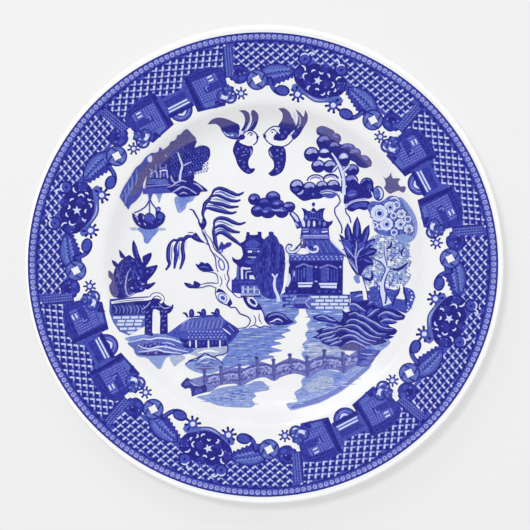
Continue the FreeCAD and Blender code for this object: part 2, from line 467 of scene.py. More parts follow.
def rosette(motif):
    motif.blob(BAND, (-10, 99), (-6.5, 95.6), (0.2, 93.4), (6.5, 95.2), (10, 98.6), (0, 103))
    motif.line(NAVY, 0.45, (-7.5, 95.8), (0.2, 93.6), (7.2, 95.4))
    motif.line(LILAC, 0.7, (-5.5, 96), (0.3, 94.7), (5.2, 95.7), ends=(0.3, 0.3))
    motif.blob(
        NAVY, (-15.4, 106), (-13.4, 101), (-9.5, 98.6), (-5, 96.6), (0, 95.8), (4.5, 96.7), (8.6, 98.8),
        (12.6, 101.2), (14.2, 106), (12.4, 110.3), (8.8, 111.2), (6.4, 112.8), (0, 113.8), (-6.6, 112.8),
        (-9.2, 111), (-13.2, 110.6),
    )
    for x, y, radius in ((-12.6, 105.6, 2.3), (11.4, 105.6, 2.3), (3.3, 104.6, 2), (-6.3, 101.6, 1.8),
            (0.4, 112.2, 1.9)):
        motif.disc(INDIGO, x, y, radius)
    for x, y in ((-12, 114.2), (8.6, 114.2)):
        motif.ring(NAVY, 1, x, y, 3.3)
        motif.disc(COBALT, x, y, 2.8)
        motif.ring(PALE, 0.8, x, y, 2.6, start=60, end=170, ends=(0.4, 0.4))
        motif.dots(NAVY, 0.8, (x + 0.2, y - 0.2))
    for x, y, radius, start, end in (
        (-8.9, 116.6, 1.7, 30, 200), (5, 116.6, 1.7, -20, 150), (-12.1, 107.8, 2.3, 0, 100),
        (9.6, 108.2, 1.9, 80, 190), (-8.4, 105.2, 1.6, 80, 250), (-4.9, 108.4, 1.3, 70, 190),
        (2.5, 108.4, 1.3, -10, 110), (-1.2, 110.2, 1.2, 200, 340), (5.9, 104.8, 1.5, -70, 90),
        (-4.6, 99.6, 1.1, 90, 250), (2.6, 99.4, 1.3, -110, 20), (6.6, 100.2, 0.9, 100, 260),
        (-0.5, 99.6, 0.9, 20, 170), (8.2, 102.6, 0.9, -80, 60),
    ):
        motif.ring(PALE, 0.9, x, y, radius, start=start, end=end, ends=(0.45, 0.45))
    motif.dots(BEAD, 0.4, (-8.7, 103.2), (-10.8, 103.6), (9.4, 106.8), (10.2, 103.8), (0.6, 113.4),
        (-2.6, 113.1), (-6.4, 98.8), (6, 98), (12.6, 107.6), (-13.6, 104), (3.4, 102.4), (-3.6, 102.6))
    motif.facet(PALE, *(polar(-1.6, 104.8, 2.5 if k % 2 == 0 else 1.1, 90 + 36 * k) for k in range(10)))


def flower_sector(name):
    flower = Print(name)
    for x, y in ((-43.5, 95.4), (43.5, 95)):
        flower.discs(
            (NAVY, x, y, 5.6, 5.2), (INDIGO, x, y, 5, 4.6), (COBALT, x + 2.4, y - 1.4, 1.7, 1.3, 30),
            (COBALT, x - 2.2, y - 1.8, 1.6, 1.1, -30), (NAVY, x - 0.4, y + 1.2, 2.2, 1.8),
        )
        flower.dots(BEAD, 0.5, (x + 0.6, y + 0.4), (x - 3, y + 1), (x + 2.8, y + 1.6))
    for side in (-1, 1):
        leaf_spray(flower, side)
    for x, y in ((-33.2, 95.6), (33.2, 93.2)):
        coin(flower, x, y)
    comma(flower, -18.9, 94.2, 1)
    comma(flower, 18.9, 92.2, -1)
    for x in (-9.9, 10.3):
        flower.blob(BAND, (x - 4.2, 98.6), (x - 3.4, 95.8), (x, 94.6), (x + 3.4, 95.8), (x + 4.2, 98.8),
            (x, 100.6))
        daisy(flower, x, 94.6, 4.5, 8, 22.5)
    rosette(flower)
    return flower


def is_flower_lattice(x, y):
    """Where the lattice shows in a flower sector: above the leaves and round the rosette."""
    rosette_clear = math.hypot((x + 0.6) / 15.6, (y - 106) / 9.6) > 1
    leaf_clear = y > 109.4 or abs(x) > 34 or y > 101 + 0.62 * (33 - abs(x))
    return rosette_clear and leaf_clear and y > 100


def woven(motif, tone, x0, x1, y0, y1, side):
    """A small woven check of short upright stitches in rows."""
    columns, rows = round((x1 - x0) / 1.5), round((y1 - y0) / 1.35)
    for column in range(columns + 1):
        x = x0 + (x1 - x0) * column / columns
        for row in range(rows + 1):
            y = y0 + (y1 - y0) * row / rows + 0.035 * (17 - x) * side
            motif.sharp(tone, 0.62, (x * side, y - 0.42), (x * side, y + 0.42))


def fret_block(motif, side):
    """The fretted block beside the middle panel; side is -1 for the left one."""
    motif.area(INDIGO, [(7.2 * side, 90.4), (16 * side, 88.2), (22 * side, 86.6)],
        [(26.4 * side, 92), (28.8 * side, 98), (29.8 * side, 105.4)],
        [(24 * side, 109.2), (16 * side, 111), (8.8 * side, 110.4)], [(7.2 * side, 90.4)])
    motif.facet(COBALT, (11.4 * side, 90.8), (21.4 * side, 88.8), (24.6 * side, 93.2), (25.8 * side, 104.6),
        (11.6 * side, 106.2))
    motif.facet(BAND, (11.8 * side, 90.6), (17.6 * side, 89.2), (17.8 * side, 92), (12 * side, 92.8))
    motif.facet(NAVY, (7.4 * side, 90.4), (10.4 * side, 89.9), (11.2 * side, 109.6), (9 * side, 110.2))
    motif.facet(INDIGO, (15.4 * side, 97.2), (24.6 * side, 96.8), (25 * side, 100.6), (15.8 * side, 101))
    woven(motif, BEAD, 12.4, 15.2, 93.8, 105.2, side)
    woven(motif, BEAD, 16.7, 24.2, 93.6, 96.2, side)
    woven(motif, BEAD, 16.7, 24.6, 101.6, 105, side)
    motif.line(SKY, 0.8, (17.2 * side, 98), (17.3 * side, 100.4), (19.2 * side, 100), ends=(0.6, 0.5))
    for y, width in ((104.4, 2.6), (102.4, 2.6)):
        motif.line(PALE, 1.2, ((21.6 - width / 2) * side, y), ((21.6 + width / 2) * side, y), ends=(0.7, 0.7))
    motif.line(NAVY, 0.5, (12 * side, 106.8), (20 * side, 106.6), (27.5 * side, 104.8))
    motif.line(NAVY, 0.5, (12 * side, 108.4), (20 * side, 108.4), (28.6 * side, 106.2))


def diaper_ribbon(motif, side):
    """The ribbon of fine checks between this sector's lattice and the next one's."""
    top, middle, foot = (38, 114.4), (33.8, 106), (31.6, 99)
    motif.line(INDIGO, 5.4, *((x * side, y) for x, y in (top, middle, foot)))
    for row in range(12):
        t = row / 11
        x, y = (a + (b - a) * t for a, b in zip((37.4, 113.4), (31.9, 100)))
        for column in (-1, 0, 1):
            motif.disc(SKY, (x + 1.35 * column) * side, y - 0.5 * column, 0.36)
            motif.disc(BEAD, (x + 1.35 * column + 0.65) * side, y - 0.5 * column + 0.55, 0.26)
    motif.line(NAVY, 0.45, (35.2 * side, 114.8), (31.2 * side, 106), (29.4 * side, 99.6))


def blossom_cluster(motif, side):
    """Three crowded blossoms at the foot of a block, with a white crescent and a white heart."""
    for x, y, radius in ((23.4, 92.4, 3.3), (26.6, 89.8, 3.9), (27.6, 93.6, 2.9)):
        motif.disc(NAVY, x * side, y, radius)
        motif.disc(COBALT, x * side, y, radius - 0.5)
    for x, y, start in ((26, 90.6, 60), (27.8, 88.6, 200), (24.6, 88.8, 250), (23, 93.6, 80),
            (28.4, 93.8, 20), (26.6, 94.6, 110)):
        motif.disc(BAND, x * side, y, 1.25, 1, start * side)
        motif.ring(NAVY, 0.35, x * side, y, 1.3, 1.05, start * side)
    motif.ring(PALE, 1.9, 24.6 * side, 91.8, 1.5, start=90 + 55 * side, end=90 + 215 * side, ends=(0.5, 0.5))
    motif.ring(PALE, 0.9, 26.8 * side, 90.2, 2.6, start=270 - 40 * side, end=270 + 20 * side, ends=(0.4, 0.4))
    motif.dots(LILAC, 0.6, (27.4 * side, 91.6), (22 * side, 91.4), (28.9 * side, 90.4))
    motif.line(NAVY, 0.8, (29 * side, 91), (30.4 * side, 93.8), (29.6 * side, 97.4), ends=(0.8, 0.6))
    motif.facet(PAPER, (29.8 * side, 98.2), (32.2 * side, 96.6), (32.6 * side, 94.2), (31 * side, 93.4),
        (30.2 * side, 94.2), (29 * side, 95.4))


def fret_sector(name):
    fret = Print(name)
    for side in (-1, 1):
        diaper_ribbon(fret, side)
        fret_block(fret, side)
    fret.disc(NAVY, -0.4, 95.8, 6.6)
    fret.disc(COBALT, -0.4, 95.8, 5.9)
    fret.ring(BEAD, 0.75, -0.4, 95.8, 4.6, start=195, end=345, ends=(0.5, 0.5))
    fret.line(PALE, 1.3, (-2.9, 94.2), (-0.4, 92.9), (2.1, 94.2), ends=(0.3, 0.3))
    fret.facet(COBALT, (-8.6, 94.4), (7.9, 94.4), (8.8, 106.4), (5, 105.6), (-5.8, 105.6), (-9.4, 106.4))
    fret.facet(INDIGO, (-6.6, 100.2), (5.9, 100.2), (6.2, 103.8), (-6.8, 103.8))
    fret.facet(NAVY, (-8, 94.2), (7.1, 94.2), (6.9, 96.4), (-7.9, 96.4))
    for y, half in ((99.1, 5.8), (97.4, 6.2)):
        fret.sharp(PALE, 0.85, (-0.4 - half, y), (-0.4 + half, y))
    for side in (-1, 1):
        blossom_cluster(fret, side)
        for petal in (-1, 0, 1):
            base_x = 18.8 * side
            fret.line(NAVY, 0.8, (base_x + 0.5 * petal, 91), (base_x + 1.9 * petal, 87.7), ends=(1, 1.4))
        daisy(fret, 32.8 * side, 88.6, 3.5, 7, 12)
    return fret


def is_fret_lattice(x, y):
    """Where the lattice shows in a fret sector: over the blocks and the middle panel, between the ribbons."""
    between = abs(x) < 28.6 + 0.52 * (y - 97)
    clear = y > 105.4 if abs(x + 0.4) < 7.4 else y > 109.4 - 0.0045 * x * x or abs(x) > 28.6
    return between and clear and y > 104.6


def border_pieces():
    """Each kind of border motif, with the direction of the sector it is drawn in."""
    flower_direction, fret_direction = 72.7, 27.5
    return [
        (flower_direction, border_ground("ground_flower")), (fret_direction, border_ground("ground_fret")),
        (flower_direction, lattice("lattice_flower", is_flower_lattice, 25.2)),
        (fret_direction, lattice("lattice_fret", is_fret_lattice, 22.5)),
        (flower_direction, border_beads("beads_flower")), (fret_direction, border_beads("beads_fret")),
        (flower_direction, flower_sector("flowers")), (fret_direction, fret_sector("frets")),
    ]


# ---- the landscape in the well, in millimetres from the plate's centre, y towards the top of the scene ----

def balls(motif, base, lit, *places):
    """Round clumps of leaves: each a dark ball with its upper side lit."""
    for x, y, rx, ry in places:
        motif.disc(base, x, y, rx, ry)
    for x, y, rx, ry in places:
        motif.blob(
            lit, (x - rx * 0.72, y + ry * 0.12), (x - rx * 0.42, y + ry * 0.66),
            (x + rx * 0.12, y + ry * 0.8), (x + rx * 0.62, y + ry * 0.5), (x + rx * 0.66, y + ry * 0.08),
            (x + rx * 0.2, y + ry * 0.22), (x - rx * 0.25, y + ry * 0.02),
        )


def bricks(motif, x0, y0, x1, courses, height, length, tone=PALE, slant=0):
    """Courses of bricks in pale strokes, each course half a brick on from the one below."""
    for course in range(courses):
        y = y0 + course * height
        x = x0 + (course % 2) * length / 2
        while x < x1:
            end = min(x + length - 0.7, x1)
            if end - x > 1:
                motif.sharp(tone, height * 0.62, (x, y + slant * (x - x0)), (end, y + slant * (end - x0)))
            x += length


def doves(name):
    pair = Print(name)
    # The left bird: two tail plumes, the spread wing, the head and the hanging body.
    pair.area(NAVY, [(-12.8, 73.2), (-10.9, 76.6), (-10.6, 79.6), (-11.6, 82.2), (-14, 83.9)],
        [(-10.6, 84), (-8.4, 82.6), (-7.7, 79.6), (-8.6, 76.6), (-11.2, 72.6)], [(-12.8, 73.2)])
    pair.area(NAVY, [(-10, 72.4), (-7.6, 76), (-6.7, 79.4), (-7.2, 82), (-7, 83.8)],
        [(-5.6, 84.2), (-3.2, 81.6), (-3.5, 77.8), (-5.2, 74.4), (-7.2, 72.4)], [(-10, 72.4)])
    pair.line(LILAC, 0.7, (-10.8, 72.6), (-8.9, 76), (-7.5, 79), ends=(1, 0.4))
    pair.line(SKY, 0.5, (-8.4, 74), (-6.3, 76.8), (-5.6, 78.6), ends=(1, 0.4))
    pair.area(NAVY, [(-31, 76.3), (-28.9, 78.7), (-25.6, 80), (-21.6, 79.7), (-17, 78), (-13.8, 76.2),
        (-13.2, 73.6)], [(-12.6, 70.6), (-13.6, 68.6), (-17.2, 68.5), (-20.4, 69.6), (-22.8, 72.2),
        (-24.2, 75)], [(-26.4, 76.6), (-31, 76.3)])
    pair.blob(BAND, (-22.6, 73.2), (-20.6, 72), (-17.6, 72.2), (-14.6, 71.6), (-14.2, 69.6), (-17.6, 69.4),
        (-20.8, 70.6))
    pair.line(PALE, 0.75, (-22.2, 72.4), (-20.4, 71), (-17.6, 70.6), (-16, 71.4), ends=(0.4, 0.4))
    pair.line(NAVY, 0.5, (-20, 72), (-18.2, 70))
    pair.line(NAVY, 0.5, (-16.8, 71.8), (-15.4, 69.4))
    pair.line(PALE, 0.95, (-13.5, 73.6), (-13.2, 71.6), (-14, 70), ends=(0.5, 0.5))
    pair.line(LILAC, 0.7, (-11.2, 73.4), (-12, 71.6), ends=(0.5, 0.5))
    pair.blob(
        NAVY, (-14.6, 68.4), (-16.6, 65.2), (-17.2, 62), (-15.8, 58.2), (-14.6, 54.6), (-12.2, 51.4),
        (-8.6, 49.4), (-5.6, 50.8), (-5.2, 52.6), (-7.6, 52.6), (-8.6, 54.6), (-8.4, 57.4), (-6.4, 61),
        (-6.3, 64.2), (-8.6, 66.4), (-12, 67.4),
    )
    pair.disc(PAPER, -8, 69, 4.4, 4.1)
    pair.ring(INDIGO, 0.75, -7.9, 69.1, 4.3, 4.1, start=-65, end=150)
    pair.facet(NAVY, (-4.3, 71.3), (-2.5, 69.7), (-4.4, 68.4))
    pair.disc(NAVY, -12.3, 69.6, 1.9, 1.5, 20)
    pair.ring(NAVY, 0.65, -7.6, 70.2, 1.8, 1.9, start=30, end=160, ends=(0.4, 0.4))
    pair.disc(BAND, -7.2, 70.9, 0.6)
    pair.blob(PAPER, (-13.6, 67.2), (-12, 66), (-9.4, 65.4), (-8, 66.2), (-10.4, 67.8), (-12.4, 68.2))
    pair.line(LILAC, 0.55, (-12.7, 59.5), (-9.6, 60.2), ends=(0.4, 0.4))
    pair.line(LILAC, 0.7, (-7.6, 59.8), (-7, 61.6), (-7.6, 63.4), ends=(0.3, 0.3))
    pair.dots(BEAD, 0.5, (-13.4, 56.8), (-11.2, 61.6), (-14.2, 63.2), (-10, 63.2))
    pair.dots(COBALT, 0.9, (-11, 55.8), (-11.2, 53.4), (-15, 61.2), (-12.2, 64), (-8.8, 51.2), (-9, 62))
    # The right bird.
    pair.area(NAVY, [(7.8, 76.2), (9.8, 79.4), (9.9, 82.4), (7.7, 84.8)],
        [(10.6, 85.2), (13.8, 83), (15.2, 80.2), (16.8, 78.2)], [(17.2, 75), (15, 70.6), (13, 68.2),
        (9.4, 67.4), (5, 68)], [(5.2, 70), (7.4, 73), (7.8, 76.2)])
    pair.area(NAVY, [(17, 84.6), (18.4, 81.4), (18.2, 78), (17, 75.2)],
        [(15, 70.4), (16, 68.2), (19.2, 70.8), (21.4, 74.4)], [(23.4, 77.8), (23.8, 81), (22.4, 84.2)],
        [(21.4, 80.6), (19.6, 82.6), (17, 84.6)])
    pair.line(MIST, 0.9, (18.6, 81.6), (19.6, 79.8), (19.4, 76.6), (18.2, 74.4), ends=(0.4, 0.4))
    pair.line(PALE, 1.5, (16.8, 77.6), (16.6, 80.4), (16.2, 83), ends=(0.6, 0.3))
    pair.line(PALE, 1, (16.6, 73.4), (14.8, 71.4), (13.6, 69.8), ends=(0.4, 0.8))
    pair.area(PAPER, [(0.3, 70.6), (2.2, 67.2), (6.4, 65.1), (11, 65.2), (14.8, 68.2)],
        [(14.4, 70.4), (13.4, 70.8)], [(11.8, 68.4), (8.6, 67.6), (5.2, 68.2)],
        [(5, 70.6), (6.6, 71.6), (7.6, 73.6)], [(5.2, 75), (2.2, 73.6), (0.3, 70.6)])
    pair.line(INDIGO, 0.7, (8.6, 75.2), (5.4, 75.5), (2.2, 73.8), (0, 70.4), (1.8, 67.2), (5.2, 65),
        (9.6, 64.4), (13.2, 65.8), (15.6, 68.4))
    pair.facet(NAVY, (-0.8, 71.6), (0.9, 71), (1.2, 69.4), (-0.4, 69.2))
    pair.line(INDIGO, 0.7, (3, 73), (5, 73.9), (6.6, 72.6), (7.2, 71), ends=(0.4, 1))
    pair.disc(INDIGO, 4.3, 72.1, 0.6)
    pair.line(PALE, 0.9, (8.4, 75), (7.6, 73.2), (8.5, 71.6), ends=(0.5, 0.5))
    pair.dots(COBALT, 1, (11.6, 72.4), (10, 70), (17, 71.6))
    pair.blob(
        NAVY, (4, 64.8), (2.2, 62.6), (2.8, 59.6), (5, 56.4), (5.2, 53), (3.6, 51), (2.3, 49.8),
        (4, 48.3), (7.4, 49), (10.2, 51.2), (11.6, 55), (12, 60), (11, 64), (7.6, 65),
    )
    pair.line(LILAC, 0.8, (3, 62.2), (3.6, 60.2), (4.6, 58.8), ends=(0.3, 0.3))
    pair.dots(BEAD, 0.6, (7.2, 62.5), (6.8, 52.2), (7.8, 55.6), (9.4, 60.6))
    pair.dots(COBALT, 0.9, (7, 59.3), (9.6, 57.4), (10.2, 62.6), (8.2, 53.6), (7.6, 50.8))
    return pair


def island(name):
    isle = Print(name)
    isle.blob(WASH, (-49, 36.4), (-44, 38.2), (-38, 37.6), (-39.6, 34.6), (-42.2, 33.4), (-43.4, 30.4),
        (-46.8, 28.2), (-48.4, 31.6))
    isle.blob(SKY, (-46.8, 37.6), (-41, 37.4), (-41.6, 34.6), (-43.6, 32.8), (-45.4, 30.8), (-46.6, 33.4))
    isle.blob(WASH, (-60, 40), (-55.6, 40), (-56.6, 36.6), (-57.6, 33.6), (-58.6, 36.4))
    isle.area(COBALT, [(-79, 36.8), (-76.6, 42), (-73.2, 47.4), (-70.2, 52.4), (-67, 55.2), (-64.6, 58.4),
        (-61.8, 60.6)], [(-58, 61.4), (-57, 64), (-55.4, 62.4)], [(-52.6, 63.2), (-51.4, 66.6),
        (-49.4, 67.4), (-48.2, 66.6)], [(-47.4, 70.4), (-44.6, 70.9), (-42.5, 73.9), (-39.4, 71.2)],
        [(-37.4, 68.8), (-38.2, 64)], [(-52, 57), (-60, 52), (-66, 47)],
        [(-67, 39.4), (-70, 35), (-73, 32.4), (-74.4, 29.8)], [(-76, 32.2), (-79, 36.8)])
    slope = [(-78, 37), (-70, 52), (-62, 60), (-58, 58), (-66, 48), (-68, 40), (-74, 31)]
    for x, y, chance in spread(slope, 70, 2):
        isle.line(SKY if chance > 0.6 else INDIGO, 0.55, (x - 0.7, y - 1.5), (x, y), (x + 0.9, y + 1.4),
            ends=(0.3, 0.3))
    # The plum ridge on the side of the well is painted reflection over the dark print.
    isle.area(PLUM_AND_REFLECTION, [(-71, 44), (-68.4, 50), (-63.6, 54.6), (-60.6, 60.2), (-57, 61.4), (-51.4, 65.6),
        (-46.6, 70), (-42.5, 73.6), (-38, 69.6)], [(-37.6, 66.8), (-44, 65.2), (-50, 61.6), (-54, 56.6)],
        [(-58.6, 52.6), (-64.4, 48.6)], [(-68, 41), (-72.6, 38), (-71, 44)])
    for x, top in ((-76, 41), (-74.4, 45.4), (-72.4, 49), (-70, 52)):
        isle.line(SKY, 0.8, (x, top), (x + 0.4, top - 4.4), (x - 0.4, top - 9), ends=(0.3, 0.5))
    isle.blob(PALE, (-63.6, 58.2), (-61.8, 59.4), (-61.2, 57.6), (-62, 55.8), (-63.4, 56.2))
    isle.line(LILAC, 1, (-54.6, 59.8), (-53.4, 59), ends=(0.6, 0.6))
    # The dark trees behind the pavilion.
    isle.blob(
        NAVY, (-53.6, 57.6), (-49, 60.8), (-44.4, 65), (-38.6, 67.2), (-36.9, 67.4), (-38.2, 64),
        (-34.2, 65.2), (-30.4, 64), (-29.6, 60.6), (-30.8, 57), (-33.2, 55.2), (-34.4, 51.6), (-38, 50.2),
        (-38.8, 46.4), (-45, 44.6), (-52.6, 47), (-53.6, 52),
    )
    for row in range(13):
        for column in range(14):
            x = -51 + 1.5 * column + 0.5 * (row % 2)
            y = 46.6 + 1.4 * row + 0.35 * column
            outside = math.hypot((x + 42) / 12.5, (y - 55) / 8.6) > 1
            beside_ripple = math.hypot(x + 45.6, (y - 54) * 0.3) < 1.5
            if not (outside or beside_ripple) or math.hypot(x + 35, y - 60) < 4.6:
                isle.disc(COBALT if (row + column) % 3 else BAND, x, y, 0.42, 0.55)
    isle.disc(BEAD, -40.6, 50.4, 0.9, 0.7)
    isle.line(PALE, 1.1, (-47.3, 61.2), (-46.2, 57.8), (-45, 54), (-45.9, 50), (-46.3, 46), ends=(0.5, 1.1))
    isle.line(LILAC, 0.8, (-45, 53.8), (-42.6, 55), (-39.8, 56.2), ends=(1, 0.5))
    # The pavilion: two arches under a straight roof, on its terrace.
    isle.facet(NAVY, (-64.6, 38.6), (-65, 44), (-63.6, 53), (-58.8, 56.6), (-53, 56.8), (-51.6, 47.4),
        (-49, 44), (-51.6, 42), (-54, 40))
    isle.facet(BAND, (-64.4, 44), (-52.4, 43.8), (-52.8, 46.8), (-63.6, 46.6))
    isle.line(BEAD, 0.8, (-65.6, 42.6), (-58, 43.2), (-51.4, 43.6))
    isle.facet(COBALT, (-66.4, 38.4), (-50.4, 39.2), (-51.6, 42.4), (-66.8, 41.6))
    for foot, head in ((-62.4, -61.6), (-58.6, -59), (-57, -56.8), (-53, -53.4)):
        isle.sharp(LILAC, 0.95, (foot, 47.4), (head, 50.6))
    isle.lines(
        (LILAC, 0.7, (-62.9, 52.2), (-60.6, 51.2), (-59, 51.2)),
        (PALE, 0.8, (-57.4, 50.9), (-55.4, 51.5), (-53, 51.2)), (LILAC, 0.7, (-61.8, 50.4), (-59.2, 50.9)),
    )
    for x in (-59.2, -57, -53.8):
        isle.sharp(BEAD, 0.75, (x, 52.2), (x - 0.1, 55))
    isle.line(BEAD, 0.6, (-56.9, 52.6), (-53.6, 53))
    isle.disc(BAND, -61, 48.6, 0.7, 1.1)
    isle.disc(BEAD, -55, 49, 0.7, 1.2)
    isle.line(LILAC, 1, (-51.2, 48.6), (-50.4, 46), (-49.6, 45.2), ends=(0.5, 0.8))
    # The rocks at its right foot.
    isle.blob(NAVY, (-53.4, 41.6), (-50, 44.2), (-45, 45.6), (-40, 46.4), (-36, 44.4), (-31, 40.2),
        (-34.8, 39.6), (-36, 37.8), (-40, 37.2), (-46, 36.8), (-49, 38.8))
    for width, route in (
        (0.9, ((-53.2, 42.2), (-50.4, 43), (-47.8, 44.9), (-45.2, 45.8), (-42.6, 45.2))),
        (1, ((-50.6, 39.2), (-47.8, 40.8), (-45, 42.4), (-42.4, 41.8), (-40.4, 41))),
        (1, ((-38.8, 44.4), (-36.2, 43.4), (-33.4, 40.4))), (0.8, ((-41.4, 41.6), (-39.2, 40), (-37, 38.6))),
        (0.7, ((-46.4, 38.4), (-44.2, 39.3), (-42, 38.6))), (0.6, ((-48.6, 43), (-46.4, 43.8))),
    ):
        isle.line(LILAC, width, *route, ends=(0.4, 0.4))
    return isle


def boat(name):
    craft = Print(name)
    craft.blob(SKY, (-70.6, 19.6), (-67.6, 17.4), (-66.2, 14.6), (-65.8, 12), (-63.8, 11.3), (-61.6, 14.2),
        (-58.6, 17.6), (-57.6, 19.8), (-64, 20.4))
    craft.disc(MIST, -71.2, 19.4, 2.4, 0.9)
    craft.disc(MIST, -56.2, 19.2, 2.3, 0.8)
    craft.facet(COBALT, (-64.2, 41), (-60.4, 41.2), (-61.4, 38), (-62.4, 34.6), (-63.4, 34.6), (-63.6, 38))
    craft.lines(
        (INDIGO, 0.7, (-62.9, 35.6), (-64.6, 32.2), (-67.6, 29.8), (-71.2, 28.2)),
        (BAND, 0.85, (-62.9, 36), (-62.9, 28)),
        (INDIGO, 0.75, (-62.7, 35.6), (-61.2, 32.8), (-59.3, 30.2), (-59.3, 26.6)),
    )
    craft.area(NAVY, [(-72.4, 28.3), (-71, 27.4), (-69.4, 26.2)], [(-68.8, 27.8), (-67, 28), (-65.4, 26.8)],
        [(-64.6, 27.8), (-62.6, 28.2), (-60.6, 27), (-59.6, 25)], [(-59.2, 29.6), (-57.4, 29.2),
        (-55.2, 28), (-54.1, 26.4)], [(-55, 23.2), (-57.8, 20.6), (-61.6, 19.2), (-66, 19.4), (-69.8, 21.4),
        (-72, 24.8), (-72.4, 28.3)])
    craft.discs(
        (COBALT, -58, 30.3, 1.3), (LILAC, -58.1, 30, 0.55), (COBALT, -63, 25.2, 2.7, 2.2),
        (COBALT, -57, 26.4, 1.5, 1.8),
    )
    craft.line(LILAC, 0.8, (-71, 26.8), (-69.6, 25.4), (-69.4, 24), ends=(0.6, 0.3))
    craft.line(LILAC, 0.8, (-67, 26.8), (-66.2, 25.6), (-66.6, 24.4), ends=(0.4, 0.4))
    craft.lines(
        (PALE, 0.75, (-69, 23), (-68, 21.8)), (PALE, 0.8, (-66, 22.6), (-65, 21.4)),
        (BEAD, 0.6, (-62, 23), (-60.8, 22)), (BEAD, 0.6, (-60.8, 25.8), (-60.6, 24.2)),
        (BEAD, 0.6, (-58.2, 22.6), (-56.6, 23.8)),
        ends=(0.5, 0.5),
    )
    return craft


def centre_bush(name):
    """The clump of round foliage over the pagoda, with its leaning trunk."""
    bush = Print(name)
    bush.line(INDIGO, 3.6, (14.4, 28.6), (17, 25.8), (18.6, 22.6), (19.6, 19.8), ends=(0.7, 1))
    bush.line(PALE, 1.6, (15, 28.2), (17, 26), (18.6, 23.6), ends=(0.6, 0.6))
    bush.line(LILAC, 1, (17, 23), (17.9, 21.6), (18.8, 20.8), ends=(0.6, 0.4))
    bush.blob(NAVY, (-5, 32), (-1, 36), (4, 37), (9, 33), (12, 29), (8, 27), (2, 28), (-3, 30))
    balls(bush, NAVY, COBALT, (-5.4, 35.6, 3.5, 3.3), (4.8, 36.4, 4.2, 3.8), (-3.6, 29.2, 3.8, 3.4),
        (2, 28.6, 4.4, 3.5), (9.6, 28.6, 3.8, 3.3), (13.6, 31.4, 3.5, 3), (7.2, 32.6, 3.9, 3.2),
        (0, 33.6, 3.4, 2.9))
    for x, y, rx, ry in ((-6.2, 36.3, 1.3, 0.9), (4.7, 38.4, 2.3, 0.9), (6.9, 33.4, 1.3, 0.8),
            (12.4, 32.2, 1.6, 0.9), (-3.6, 30.6, 1.2, 0.7), (0.6, 28.9, 1.4, 0.6), (14.6, 32.4, 0.8, 0.5)):
        bush.disc(BEAD, x, y, rx, ry)
    bush.line(LILAC, 0.9, (4.2, 30.2), (6.2, 29.5), (8.6, 29.7), (10.6, 29), ends=(0.5, 0.5))
    bush.line(LILAC, 0.8, (9.4, 31), (9.7, 29.6), ends=(0.5, 0.5))
    return bush


